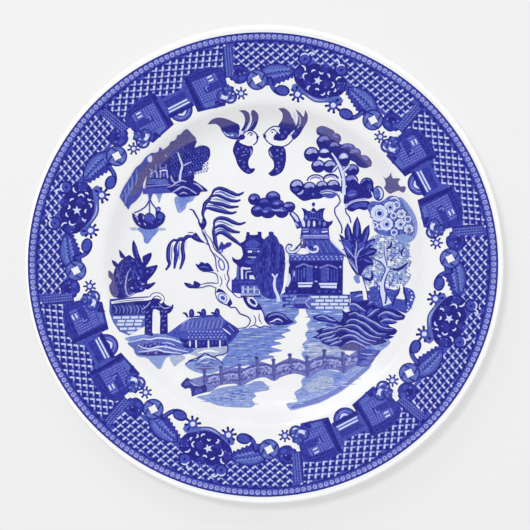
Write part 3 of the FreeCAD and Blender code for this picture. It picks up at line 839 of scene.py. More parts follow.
def orange_tree(name):
    """The tall tree of round leaf clumps at the right, with its long bare trunk."""
    tree = Print(name)
    tree.area(PAPER, [(38.8, 31.5), (38.2, 28.6), (40, 24.8), (42.2, 20.2), (42.6, 14)],
        [(43.4, 2), (43, -6), (44, -12), (46.6, -14.4)], [(53, -14.4)],
        [(50, -9.4), (47.2, -3), (45.8, 4), (45.6, 12), (46.8, 22), (45, 30), (44.6, 38), (44, 46)],
        [(42.6, 40), (40.6, 34), (38.8, 31.5)])
    tree.line(INDIGO, 0.8, (30.8, 39.3), (35, 39.9), (38.6, 39), (40.8, 37), (41.6, 34.4), (40.4, 32.4),
        (38.7, 30.4), (39.1, 27.2), (41, 23.8), (42.6, 20), (42.3, 16.8))
    tree.line(INDIGO, 0.8, (44.6, 31), (44.9, 28.4), (46.6, 26), (47.6, 22.6))
    tree.blob(NAVY, (29, 67), (34, 69), (41, 66), (48, 63), (53, 59), (52, 55), (46, 57), (44, 51.6),
        (41, 55), (36, 58), (31, 62))
    balls(tree, NAVY, BEAD, (31.4, 72.8, 3, 2.6), (35.4, 71.4, 3.2, 2.6), (38.8, 68.6, 3.3, 3.1),
        (32.8, 67.2, 4.3, 3.7), (45.4, 63.6, 4.4, 2.6), (49.4, 60.6, 3.6, 3.2), (38.4, 64.4, 3.4, 3))
    # The plum patch at the crown is painted reflection over the dark leaves, where they climb the side of the
    # well.
    tree.blob(PLUM_AND_REFLECTION, (28.6, 74), (31, 75.6), (35, 74.6), (38.6, 72), (41.4, 69.4), (41.2, 66.6), (38.4, 68),
        (34.8, 70.4), (30.8, 71.6))
    tree.disc(BAND, 31.6, 73.6, 1.9, 1, -12)
    tree.disc(BEAD, 38.6, 70.4, 1.8, 1, -35)
    balls(tree, NAVY, LILAC, (26, 60.3, 4.3, 4.1), (33, 61, 3.6, 3), (43.5, 57.6, 3.6, 4.2),
        (29.6, 53.8, 3.9, 3.7), (36.2, 53.6, 4.1, 3.6))
    tree.disc(PALE, 43.6, 59.2, 1.7, 1.2)
    tree.disc(PALE, 33.2, 62, 1.8, 0.9)
    tree.blob(NAVY, (49.6, 57.6), (52.6, 59.6), (56.2, 59), (58.4, 56.2), (58, 53.6), (55.4, 52.6),
        (52, 53.4), (50, 55.4))
    # This plum patch too is painted reflection over the dark leaves.
    tree.blob(PLUM_AND_REFLECTION, (52, 58.8), (55.4, 59.6), (58.6, 56.6), (58.6, 53.8), (57.2, 53.2), (56.4, 55.6),
        (54.4, 57.2))
    tree.disc(BEAD, 55.2, 58, 1.8, 0.9, -30)
    balls(tree, NAVY, BEAD, (48.2, 51.6, 3.9, 3.4), (47.6, 45.8, 4, 3.7))
    tree.line(LILAC, 0.8, (48.6, 48.6), (50.2, 46.8), (51.2, 45.2), ends=(0.4, 0.4))
    tree.disc(LILAC, 43.2, 53, 1.2, 0.7)
    # The broad lower tiers.
    tree.blob(NAVY, (14, 41.4), (18, 43.6), (24, 42), (30, 43), (37, 43.6), (42.4, 42.4), (42.2, 40),
        (36, 40.2), (30.4, 39.2), (34, 37.8), (30.6, 36), (26.4, 35.6), (21.6, 34.7), (18, 37))
    balls(tree, NAVY, LILAC, (17.9, 42.6, 4, 4), (24.8, 41.8, 3.9, 3.5), (31.8, 42.8, 3.5, 3.1),
        (37.8, 43.2, 3.8, 3.2))
    tree.ring(NAVY, 0.8, 28.2, 45.4, 4.6, 3.6, start=5, end=175)
    tree.ring(BEAD, 1, 28.2, 45.4, 3.3, 2.3, start=20, end=165, ends=(0.4, 0.4))
    tree.ring(NAVY, 1.1, 36.6, 46.4, 4, 2.8, start=10, end=170)
    tree.line(LILAC, 1, (33.4, 46.8), (36.6, 48.2), (39.4, 47), ends=(0.5, 0.5))
    tree.disc(COBALT, 17.4, 41, 1.8, 1)
    tree.line(LILAC, 1.2, (18.2, 38.4), (20.2, 39), (21.4, 40.6), ends=(0.5, 0.6))
    tree.disc(BAND, 26.9, 38.3, 0.8)
    tree.blob(COBALT, (31.2, 38.4), (35, 39), (39.6, 38.2), (37.4, 36.2), (34.2, 36.4))
    tree.line(LILAC, 0.9, (31, 39.9), (35, 40.5), (38.9, 39.6), (41.4, 37.4), ends=(0.6, 0.9))
    tree.blob(NAVY, (44, 33), (43.8, 38), (44.4, 41.6), (48, 44), (52, 44.4), (55, 41), (59.4, 39.6),
        (59.6, 37.6), (56, 35.8), (50, 35.4))
    tree.blob(COBALT, (45.2, 38.6), (48.2, 41), (51.2, 39.4), (49.6, 37), (46.6, 36.8))
    tree.line(BEAD, 0.8, (46, 37.8), (48, 38), (50.2, 38.6), ends=(0.4, 0.4))
    tree.disc(NAVY, 56.2, 44, 3.7, 3.6)
    tree.blob(SKY, (53.2, 44.2), (54.6, 46.4), (57.4, 46.6), (58.8, 44.6), (57, 43.6), (55.2, 43.4))
    tree.disc(MIST, 57, 41.2, 3.2, 2.2)
    tree.line(NAVY, 0.8, (52.4, 42.8), (55.6, 42.9), (58.6, 42.4))
    tree.line(NAVY, 0.6, (56.4, 42.6), (57, 40.4), (58.6, 38.6))
    tree.blob(NAVY, (45, 30.6), (47.6, 33.2), (52, 34.6), (57.6, 34.4), (58, 31.4), (55.4, 29.6),
        (51.6, 30.2), (48, 28.8))
    tree.blob(COBALT, (47.4, 31.6), (50.8, 33.4), (56, 33.8), (56.4, 31.4), (53, 31.6), (50, 30.6))
    tree.line(LILAC, 1.1, (44.4, 31.6), (47.6, 34), (51.6, 35.3), (56.2, 36), (59, 37.4), ends=(0.9, 0.5))
    # The upper trunk, in front of the leaves.
    tree.line(INDIGO, 2.5, (36.8, 61.2), (39.6, 56.8), (42.2, 51.4), (43.4, 46), (43.2, 39), ends=(0.5, 1.1))
    tree.line(PALE, 1.5, (37, 61), (39.8, 56.8), (42.4, 51.4), (43.6, 46), (43.6, 38), ends=(0.5, 1.4))
    tree.line(INDIGO, 1.8, (43.2, 50.6), (45.4, 52.6), (47.2, 54.6), ends=(1, 0.5))
    tree.line(PALE, 1, (43, 50.6), (45.2, 52.6), (47, 54.4), ends=(1.2, 0.5))
    tree.line(PALE, 0.9, (41, 54.6), (39.2, 53), (37.4, 50.8), ends=(1, 0.4))
    tree.line(PALE, 0.8, (43.4, 46.6), (40.4, 46), (38.4, 47.2), ends=(1, 0.4))
    return tree
def star(name):
    burst = Print(name)
    # The star's plum is painted reflection over dark print, where it lies on the side of the well.
    burst.area(PLUM_AND_REFLECTION, [(64.9, 48.4), (66.2, 47), (67.4, 47.4)], [(68.4, 48.4), (69.2, 50.3)],
        [(69.6, 48), (70.4, 46.8)], [(72.6, 46.9), (74.3, 46.5)], [(73.2, 45), (73.3, 43.6), (74.6, 42.2)],
        [(76.2, 42.6), (77.3, 41.8)], [(76.6, 39.6), (75.4, 39)], [(73.4, 40.2), (71, 39.4), (69, 38.4)],
        [(67.4, 39.4), (65.4, 42)], [(66.4, 43.4), (66, 46), (64.9, 48.4)])
    burst.line(INDIGO, 0.9, (67, 41.2), (69.6, 42.4), (71.4, 42), ends=(0.3, 0.3))
    burst.line(INDIGO, 0.9, (68.4, 45), (70.4, 44.6), ends=(0.3, 0.3))
    return burst


def blossom(motif, x, y, radius, petals):
    """One blossom: scalloped pale petals inside a dark line, with a small dark eye."""
    motif.disc(INDIGO, x, y, radius + 0.7, radius + 0.6)
    for petal in range(petals):
        px, py = polar(x, y, radius * 0.72, 360 * petal / petals + 20)
        motif.disc(PALE, px, py, radius * 0.4)
    motif.disc(PALE, x, y, radius * 0.72)
    motif.ring(SKY, radius * 0.13, x, y, radius * 0.52)
    motif.disc(BAND, x + radius * 0.06, y - radius * 0.04, radius * 0.34)
    motif.disc(NAVY, x + radius * 0.06, y - radius * 0.04, radius * 0.22)


def blossom_tree(name):
    tree = Print(name)
    tree.blob(MIST, (56.4, 12), (58.6, 8.8), (57, 5.4), (60.6, 2), (58, -1.8), (61.4, -4.6), (60, -9.4),
        (63.4, -12.6), (66.6, -9.2), (70.4, -12.8), (73.8, -9.6), (76.2, -12), (79.4, -8.4), (77.6, -4),
        (80.4, 0.8), (77.8, 5), (79.6, 10.4), (75.2, 15.8), (67, 17.4), (60.4, 15.8))
    tree.blob(WASH, (77, -13.4), (80.4, -13.8), (82.2, -16.2), (81.6, -20), (79.8, -23.2), (77.4, -27),
        (74.6, -24.4), (76.6, -19))
    tree.blob(MIST, (50.4, 8), (54, 10.4), (60, 8), (61, 0), (60, -8), (57.6, -12.4), (54.4, -9.4),
        (51.8, -8.4), (52.2, -3), (50.2, 1))
    for x, y, rx, ry, turn in ((54.4, 5.6, 2.2, 1.4, 30), (55, -1.6, 1.4, 2, 0), (56.6, -8.4, 1.8, 1.3, 20),
            (60.2, 12.2, 3.4, 2, 30), (73.8, 11.2, 3.2, 2.1, -20), (62.4, -7, 2.6, 2.6, 0),
            (72.8, -6.6, 3.6, 1.8, -24), (77.2, 6, 2.4, 3.4, 10), (59, 4.4, 1.6, 2.4, 0),
            (70.8, 5.6, 2.4, 1.4, 40), (75.6, -2, 2.6, 1.3, 20)):
        tree.disc(WASH, x, y, rx, ry, turn)
    for x, y, rx, ry, turn in ((64.6, 13.4, 1.6, 1, 20), (69.4, 1.2, 1.6, 2.2, 0), (61.4, 8, 1.5, 0.9, -30),
            (74.4, 3, 1.8, 0.9, 20), (66.6, -16, 0.8, 1.8, 10), (71.2, -9.2, 1.4, 0.9, 0),
            (60.4, -1.6, 1.2, 1.8, 20)):
        tree.disc(PAPER, x, y, rx, ry, turn)
    meadow = [(58, -13), (64, -12), (71, -14), (77, -12.6), (81.4, -14.6), (82.2, -18.6), (78, -26.4),
        (72, -25), (60, -22)]
    tree.blob(COBALT, *meadow)
    ripples(tree, INDIGO, 0.6, 3, meadow, 60, 2)
    ripples(tree, BAND, 0.55, 2.6, meadow, 50, 4)
    speckle(tree, SKY, 0.35, meadow, 30, 5)
    crown = [(51.4, 8.6), (51.6, 1), (52.8, -5), (54, -8.6), (57.6, -11.8), (63.4, -13.6), (70.4, -14),
        (76.2, -12), (79.4, -8.4), (80.4, 0.8), (79.6, 10.4), (75.2, 15.8), (67, 17.4), (60.4, 15.8)]
    speckle(tree, SKY, 0.55, crown, 190, 1, 1.7)
    speckle(tree, BAND, 0.42, crown, 150, 4, 1.8)
    speckle(tree, PAPER, 0.42, crown, 110, 8, 1.7)
    speckle(tree, PALE, 0.45, [(76, -13), (81, -14), (82, -19), (78, -26), (74.5, -24)], 24, 2, 1.5)
    # The trunk, pale between dark outlines, and its twigs.
    tree.area(PALE, [(59.8, 3.2), (64, 1), (66.4, -3.4), (63.8, -9.4), (63.4, -13), (64.6, -20),
        (65.2, -23)], [(70, -21.2)], [(68, -17.4), (66.4, -13.6), (66.8, -7.4), (68.6, -3.4), (67.6, -1.6),
        (67.2, 1.6), (66.6, 10)], [(65.8, 9.6), (64.8, 3.4), (59.8, 3.2)])
    for width, route in (
        (0.75, ((56.4, 5.6), (60, 3), (63.8, 1.1), (65.9, -1.5), (66.3, -3.6), (65.2, -6.2), (63.9, -9.8))),
        (0.75, ((68.5, -3.4), (66.9, -6.8), (66, -11), (66.3, -14.4), (68, -17.5), (70.2, -21.2))),
        (0.9, ((63.4, -11.8), (63.2, -16), (64.3, -20), (65, -23.2))),
        (1.2, ((66.6, -15.8), (67, -18.6), (66.3, -21.8))),
        (0.6, ((66, 10), (66.1, 5), (66.9, 1), (67.4, -2))),
        (0.6, ((68.6, -3.2), (70.4, -2.4), (72.6, -2.4))), (0.6, ((72.6, 5), (70.4, 3.4), (69.2, 0.6))),
        (0.55, ((71, -6.2), (70.2, -9.6), (68.4, -12.4))), (0.5, ((74.6, 8.4), (73.4, 6.2), (70.6, 5.6))),
    ):
        tree.line(INDIGO, width, *route, ends=(0.4, 0.6))
    for width, route in (
        (1.4, ((52.8, -6), (55.6, -8), (58.6, -8.5), (59.3, -5.6), (58.6, -3.8))),
        (1.4, ((70.4, -3.2), (74, -2.7), (77, -0.6), (78.8, 0.8))),
        (1.2, ((69.8, 12.6), (69.2, 9.6), (67, 8.4))), (1, ((70, 9.2), (72.4, 9.2))),
        (1.3, ((57, 9.8), (58.6, 7.4), (58.2, 5.4))), (1, ((76.8, 9), (75, 6.6), (75.6, 4.6))),
        (1, ((61, -9.4), (62.6, -11.6))), (0.9, ((73.4, -6.8), (75, -8.8))),
    ):
        tree.line(NAVY, width, *route, ends=(0.4, 0.6))
    # The right-hand stump, white between dark sides.
    tree.area(COBALT, [(77.6, -13), (80, -15.4), (78.2, -20.6), (76.2, -25.4)],
        [(71, -23.2), (72.6, -18.6)], [(75, -14.4), (77.6, -13)])
    tree.area(PAPER, [(75.2, -10), (74.6, -13.4), (73.8, -16.2), (72, -18.6)],
        [(76.8, -19.2), (76.2, -15.8), (75.9, -12.8), (75.2, -10)])
    tree.line(NAVY, 1.1, (76.4, -11.4), (76.6, -15), (77.6, -18.8), (77.4, -22.6), ends=(0.4, 0.8))
    tree.line(NAVY, 0.9, (74.2, -11.6), (73.4, -15.6), (71.4, -19), (70.4, -22.8), ends=(0.4, 0.8))
    # The heads of blossom.
    tree.blob(WASH, (74, 36.6), (79.6, 31.4), (83.4, 23), (82.6, 15), (78.4, 11.6), (72, 14), (74, 26))
    tree.blob(BAND, (56.8, 30), (58.6, 34.4), (64, 34.4), (69, 37.4), (73.6, 36.4), (76.6, 31.8),
        (81.4, 22), (80.8, 15.6), (76, 16.8), (71, 15.4), (64, 16.2), (60.2, 18.8), (60.6, 23.4))
    for x, y, rx, ry in ((71.2, 25.4, 1.9, 1.4), (62.4, 19.4, 1.4, 1.2), (68.6, 17.4, 2.2, 1),
            (76.6, 18.4, 1.3, 1.8), (59.6, 31.6, 1.2, 1.4), (71.8, 33.4, 1.8, 0.9), (77.6, 25, 1, 1.5),
            (64.6, 33, 1.4, 0.7), (73.4, 16.6, 1, 0.7)):
        tree.disc(COBALT, x, y, rx, ry)
    crown = [(57, 31), (64, 34), (70, 37), (75, 34), (81, 22), (80, 16), (70, 16), (61, 19)]
    speckle(tree, COBALT, 0.65, crown, 60, 3, 1.6)
    speckle(tree, SKY, 0.5, crown, 90, 6, 1.5)
    speckle(tree, WASH, 0.35, crown, 80, 9, 1.5)
    blossom(tree, 68.8, 31.2, 3, 9)
    blossom(tree, 67, 22, 3.3, 10)
    blossom(tree, 63, 28, 4.2, 12)
    blossom(tree, 74.5, 21.9, 2.7, 8)
    blossom(tree, 79, 19.2, 2.4, 8)
    blossom(tree, 75, 27.5, 2.3, 7)
    for x, y, radius in ((71.2, 17.4, 1.5), (60.6, 21.6, 1.3), (72.4, 32.4, 1.6), (78.4, 24.6, 1.5),
            (70.8, 26.6, 1.4), (63.4, 20.6, 1.4)):
        tree.ring(PALE, 0.7, x, y, radius)
    tree.line(PALE, 0.9, (68.6, 35.6), (71.4, 36.4), (74, 34.6), ends=(0.4, 0.4))
    tree.disc(INDIGO, 62.6, 38.8, 3, 4.2, 8)
    tree.disc(BAND, 61.8, 39.4, 1.9, 3, 8)
    tree.ring(PALE, 1.2, 62.4, 38.8, 1.9, 3.1, 8, start=-80, end=80, ends=(0.4, 0.4))
    tree.dots(SKY, 0.7, (60.9, 40.6), (61.2, 37.6))
    tree.blob(NAVY, (52.8, 40.8), (53.6, 44.6), (56.4, 46.4), (59.2, 44.4), (60.2, 40.6), (59, 36.8),
        (56.4, 36))
    tree.line(PALE, 0.7, (57.6, 40.6), (59.4, 38.4), (59.4, 35.6), ends=(0.4, 0.4))
    tree.disc(COBALT, 57.6, 42.4, 1.3, 1.5)
    return tree


def pointed_plant(name):
    plant = Print(name)
    plant.area(NAVY, [(41, 16.6), (42.8, 15.6), (44.2, 14.2)], [(44, 18.6), (45.8, 22.8)],
        [(47.4, 19.6), (48.4, 16.2)], [(48.8, 21.4), (51, 26.4)], [(52.8, 21.6), (53.4, 16.4)],
        [(55, 19.6), (57.6, 21.8)], [(57.8, 17), (56.6, 12.8)], [(58.4, 13.6), (60.9, 14.2)],
        [(60.2, 11), (57.8, 8.8)], [(59.8, 9), (62.2, 8.2)], [(60.4, 5.2), (57.2, 4.4)],
        [(59, 2.8), (60, -0.6)], [(57.4, -0.8), (55, -2.2)], [(52.6, -7.2)],
        [(50.4, -5.6), (47.6, -1.6), (45.2, 4)], [(43.2, 10), (41, 16.6)])
    for route in (((45.4, 20.6), (46, 17), (46.8, 13)), ((50.9, 24), (51, 19.6), (50.6, 15)),
            ((56.8, 20), (55.8, 16), (54.4, 12)), ((59.6, 12.8), (57.4, 11.2), (55.4, 8.8)),
            ((60.4, 7.4), (57.6, 6.8), (55.2, 5.4)), ((58.4, 1), (56.4, 1.8), (54.4, 2.6)),
            ((43.8, 11.6), (46, 9), (47.6, 5.6)), ((46.8, 3.4), (48.6, 0.6), (49.6, -2.2))):
        plant.line(COBALT, 1.3, *route, ends=(0.3, 0.5))
        plant.line(BEAD, 0.4, *((x + 0.5, y - 0.2) for x, y in route), ends=(0.3, 0.4))
    plant.blob(SKY, (58, 11), (59.6, 12.8), (60.4, 11.8), (59.4, 10.4))
    plant.lines(
        (BAND, 1, (50.9, 24.6), (51.3, 20.6), (50.8, 16)), (COBALT, 0.9, (46, 22), (46.6, 19.2)),
        (COBALT, 0.9, (56.8, 20), (56.2, 15.6)),
        ends=(0.3, 0.5),
    )
    plant.blob(COBALT, (43.2, 12.4), (46.2, 13.2), (48, 9.6), (46.4, 6), (44.2, 8.6))
    plant.blob(COBALT, (51.6, 11.4), (54.8, 11.8), (55, 8.4), (52.4, 7.8))
    speckle(plant, COBALT, 0.45, [(42, 15), (47, 16), (55, 13), (55, 5), (52, -4), (48, -3), (44, 5),
        (41, 13)], 46, 5, 2)
    plant.line(LILAC, 0.8, (50.4, 13), (50.6, 9), (50, 5), (50.5, 0), (51.2, -4.2), ends=(0.4, 0.6))
    plant.line(LILAC, 0.75, (54.2, 9.2), (51.8, 6.6), (50.6, 3.2), ends=(0.4, 0.5))
    plant.line(LILAC, 0.75, (45.8, 3.2), (48.8, -0.8), (51.4, -4.8), ends=(0.4, 0.6))
    plant.line(LILAC, 0.7, (44.4, 10), (47.4, 6), (50, 3), ends=(0.3, 0.5))
    plant.blob(SKY, (49, -6.6), (52.4, -6), (53.2, -9.6), (50.6, -10.4))
    plant.line(PAPER, 2, (52.8, -6.6), (53.6, -10.4), (54.8, -14.4), (55.5, -19.6), ends=(0.6, 1))
    plant.line(INDIGO, 0.6, (53.8, -6.4), (55, -10.6), (56.2, -15), (56.8, -19.4))
    plant.disc(NAVY, 55.2, -20.9, 2.4, 1.2)
    return plant


def teahouse(name):
    house = Print(name)
    house.area(NAVY, [(20.3, 30.9), (22.2, 30.4), (24, 29.2)], [(25.3, 29.2), (26.2, 30.4), (27, 31.3)],
        [(27.8, 30.4), (28.8, 29.2)], [(30.6, 30.4), (33.6, 30.9)], [(32.6, 28.6), (32.4, 25.6),
        (33.4, 23.9)], [(35.6, 23.4), (37.7, 24.1)], [(37.2, 22.2), (35.8, 20.8)], [(35.4, 19.8)],
        [(20, 19.8)], [(18.4, 20.2), (17.1, 21)], [(18.6, 22.8), (20.6, 23.6)],
        [(21.6, 25.6), (21.6, 28.2), (20.3, 30.9)])
    house.disc(INDIGO, 27, 32.8, 1, 1.2)
    house.hatch(COBALT, 0.6, (23.4, 28.4), (31, 28.4), (0.3, -3.4), 6)
    house.line(BAND, 0.6, (22.4, 24.4), (27, 25.2), (32, 24.2), ends=(0.4, 0.4))
    house.discs(
        (BEAD, 22.8, 25.8, 0.7, 1), (PALE, 21.4, 22.6, 0.9, 2.2, 14), (LILAC, 24.4, 22.3, 0.8, 1.9, -6),
        (PALE, 27.4, 22.2, 0.7, 1.7), (BAND, 30.4, 22.6, 0.7, 1.4), (BEAD, 33, 22, 0.8, 1.3),
    )
    house.line(LILAC, 0.5, (25.4, 29.6), (26.4, 28.4), (28, 28.6), ends=(0.4, 0.4))
    # The upper storey.
    house.facet(INDIGO, (20.4, 20), (35.4, 20), (35.8, 13.6), (19.6, 13.6))
    house.facet(COBALT, (25.2, 19.4), (31, 19.4), (30.4, 16.6), (25.6, 16.6))
    house.sharp(BEAD, 0.75, (20.9, 19.2), (24.4, 19.4))
    house.sharp(LILAC, 0.8, (21.2, 17.7), (24.3, 18))
    house.facet(BEAD, (26.4, 16.9), (28, 18.5), (29.6, 16.9))
    house.facet(INDIGO, (27.2, 16.9), (28, 17.7), (28.8, 16.9))
    house.sharps(
        (PALE, 0.8, (31.6, 17.7), (34.8, 18)), (BEAD, 0.7, (31.8, 19.3), (34.6, 19.3)),
        (LILAC, 0.85, (21, 15.6), (34.9, 15.7)), (BEAD, 0.95, (19.4, 14.5), (36.2, 14.6)),
    )
    # The main roof, in slanting tiles.
    house.facet(INDIGO, (21.6, 13.8), (35.8, 13.8), (44.2, 5.2), (24, 5.2), (14, 5.2), (17.6, 9.6))
    for tile in range(13):
        x = 23.2 + 1.32 * tile
        foot = x + 0.3 * (x - 23) + 1.6
        house.sharp(COBALT if tile % 2 else BAND, 0.85, (min(x, 36.4), 13), (min(foot, 42.6), 5.9))
    house.facet(PLUM_AND_REFLECTION, (19, 9.6), (20, 13.4), (22.4, 13.6), (22, 9.4))
    house.line(PALE, 0.8, (36.4, 13.2), (39.6, 9.8), (44.2, 5.6))
    house.area(PAPER, [(17.4, 6.2), (19, 8.2), (21.4, 8.8), (23.4, 8), (24.6, 6)], [(21.2, 5.3), (17.4, 6.2)])
    house.lines(
        (INDIGO, 2, (19.4, 10), (18.4, 8), (15.8, 6.6), (13.4, 6.9), (12.6, 8.6), (13.6, 10.4),
            (15.2, 9.6)),
        (PALE, 1.1, (19.6, 9.8), (18.4, 7.9), (15.9, 6.6), (13.6, 6.9), (12.7, 8.5), (13.5, 10),
            (14.7, 9.4)),
        (PALE, 1.1, (22.9, 9.4), (24.4, 7.4), (26.8, 6.6), (28.9, 7.1), (29.4, 8.6), (28.4, 9.9),
            (27.3, 9.1)),
    )
    house.blob(NAVY, (23.8, 9.8), (25.8, 8.6), (27.4, 8.2), (26.2, 9.6))
    house.line(PALE, 0.8, (20.9, 12.9), (20.8, 11), ends=(0.6, 0.6))
    # The cornice with its two rows of round brackets.
    house.facet(COBALT, (13.6, 5.4), (43.9, 5.4), (43.3, 1.6), (13.4, 1.6))
    for bracket in range(11):
        house.disc(LILAC, 15.6 + 2.65 * bracket, 4.2, 0.52, 0.45)
        house.disc(LILAC, 17 + 2.55 * bracket, 2.9, 0.5, 0.45)
    house.line(LILAC, 0.65, (13, 5.4), (20, 5), ends=(1, 0.4))
    # The wall, its openings and awnings.
    house.facet(NAVY, (13.6, 1.8), (43.2, 1.8), (43, -16.6), (40, -17), (10.4, -16.4), (13.2, -8))
    house.facet(COBALT, (31, -2.4), (34.6, -1), (34.4, -9.8), (31, -9.8))
    house.facet(COBALT, (23, -1.4), (26.4, -2), (26.6, -9.6), (23.2, -9.6))
    house.line(BEAD, 0.8, (17.4, -1.6), (19.4, -0.8), (21.6, 0.1), (24, -0.8), (26.6, -1.4))
    house.line(BEAD, 0.8, (30.4, -2.1), (32.9, -1), (35, -0.5), (37.8, -1.2), (40.2, -2.3))
    house.dots(LILAC, 0.65, (28.4, -1.5), (41.8, -1.5))
    for x in (15.6, 17.2, 18.8, 20.4, 24.8, 33.2, 36.8, 38.4, 40):
        house.sharp(COBALT, 0.7, (x, -3), (x + 0.1, -9.4))
    for x in (14, 16.8, 30, 34, 38, 41.4):
        house.disc(COBALT, x, -15, 0.9, 0.7)
    house.sharp(BAND, 0.8, (21.9, -2), (21.9, -7.6))
    house.sharp(BAND, 0.8, (35, -2), (35, -9))
    house.disc(LILAC, 28.4, -9.4, 0.9, 0.5)
    house.facet(PALE, (18.4, -10), (26.8, -9.9), (25.8, -12.5), (18.7, -12.6))
    house.facet(PALE, (29.9, -10.3), (39.9, -10.2), (39.7, -13.2), (31, -12.9))
    house.sharp(NAVY, 0.5, (18.4, -11.2), (26.2, -11.1))
    house.sharp(INDIGO, 0.4, (30.4, -11.6), (39.8, -11.6))
    house.line(PALE, 0.9, (11.2, 1.6), (12.9, 1), (13.8, -1.2), ends=(0.5, 0.6))
    house.line(PALE, 1.6, (13.6, -5.2), (13.7, -8.6), (12.4, -12.2), ends=(0.6, 0.8))
    house.line(PALE, 1, (11, -13.4), (11, -15.6), ends=(0.8, 0.8))
    house.disc(LILAC, 16.4, -5.2, 0.5, 1.6)
    # The brick platform and the steps.
    house.facet(INDIGO, (25, -16.6), (47, -16.6), (46.8, -24.4), (25, -24.8))
    house.facet(BAND, (25.4, -17.2), (46.4, -17.2), (46.2, -24.2), (25.4, -24.4))
    bricks(house, 25.6, -18, 46.6, 4, -1.95, 5.2)
    house.facet(INDIGO, (9.4, -16.2), (16.2, -16.2), (16.2, -24.2), (10, -23.6))
    bricks(house, 9.6, -17.4, 15.6, 4, -1.85, 4.4, SKY)
    house.facet(BAND, (15.2, -16.4), (26, -16.6), (25.6, -24.6), (15.4, -24))
    house.facet(INDIGO, (16, -21.8), (24, -21.6), (23.8, -24.4), (16.2, -24))
    house.facet(INDIGO, (17.2, -16.8), (24.6, -16.8), (23.6, -18), (17, -18))
    for y in (-18.9, -20.9):
        house.sharp(BEAD, 0.9, (17, y), (22.8, y + 0.1))
    house.lines(
        (LILAC, 0.9, (15.4, -20), (16.4, -18.6), (17.6, -17.2)),
        (LILAC, 0.9, (22.4, -20.6), (24.2, -19.2), (26, -17.4)),
        (LILAC, 0.7, (22.4, -21), (23.6, -22.6), (25, -24)),
        ends=(0.6, 0.6),
    )
    return house


def round_tree(name):
    tree = Print(name)
    tree.area(INDIGO, [(0, 13.8), (1.6, 15.2), (4.4, 16.4), (6.8, 15), (8.3, 11.6)],
        [(10.2, 10.2), (11.3, 7)], [(11.6, 0), (11, -6), (10.4, -12), (8.8, -17.2)],
        [(4.4, -19.2), (0, -17.8), (-2, -16)], [(-3.5, -12), (-4, -8), (-5.4, -5.6), (-7, -2.2)],
        [(-5, 3), (-1.4, 9), (0, 13.8)])
    tree.disc(INDIGO, 3.8, 16.7, 1.5, 1.3)
    tree.blob(NAVY, (-1.6, 5), (0.8, 9.6), (1.4, 4), (0.6, -3), (-1, -6), (-3, -3))
    tree.blob(NAVY, (4, 12.6), (6, 11), (6.2, 4), (5, -2), (3.4, 4))
    tree.blob(NAVY, (8.8, 8), (10.2, 5), (10.4, -2), (9, -8), (8.4, -1))
    crown = [(1, 14), (4.6, 16), (8, 11), (11, 6), (11, -5), (9, -16), (3, -18), (-2, -15), (-4, -8),
        (-6, -3), (-2, 6)]
    for x, y, chance in spread(crown, 130, 2):
        tree.line(COBALT if chance > 0.4 else NAVY, 0.5, (x, y + 1.3), (x + 0.2, y), (x, y - 1.3),
            ends=(0.3, 0.3))
    for x, y, length in ((2.5, 11.6, 3.6), (7.6, 10, 3), (2.4, 3, 5.2), (7.4, 2.4, 4.6), (0.4, -9, 3.6),
            (3, -7.4, 3.2), (-2.6, 1.2, 3), (9, -12, 2.6), (1.6, -14.6, 2.6)):
        tree.line(COBALT, 0.85, (x, y), (x + 0.4, y - length / 2), (x, y - length), ends=(0.3, 0.3))
    tree.line(PALE, 1.5, (4.3, -5.2), (5.8, -7.6), (5.5, -10.8), (6, -14), (7.4, -17.2), (8, -20.6),
        ends=(0.5, 1.3))
    tree.line(PALE, 0.9, (7.6, -5.2), (6.4, -6.8), (5.8, -8.4), ends=(0.4, 0.9))
    return tree


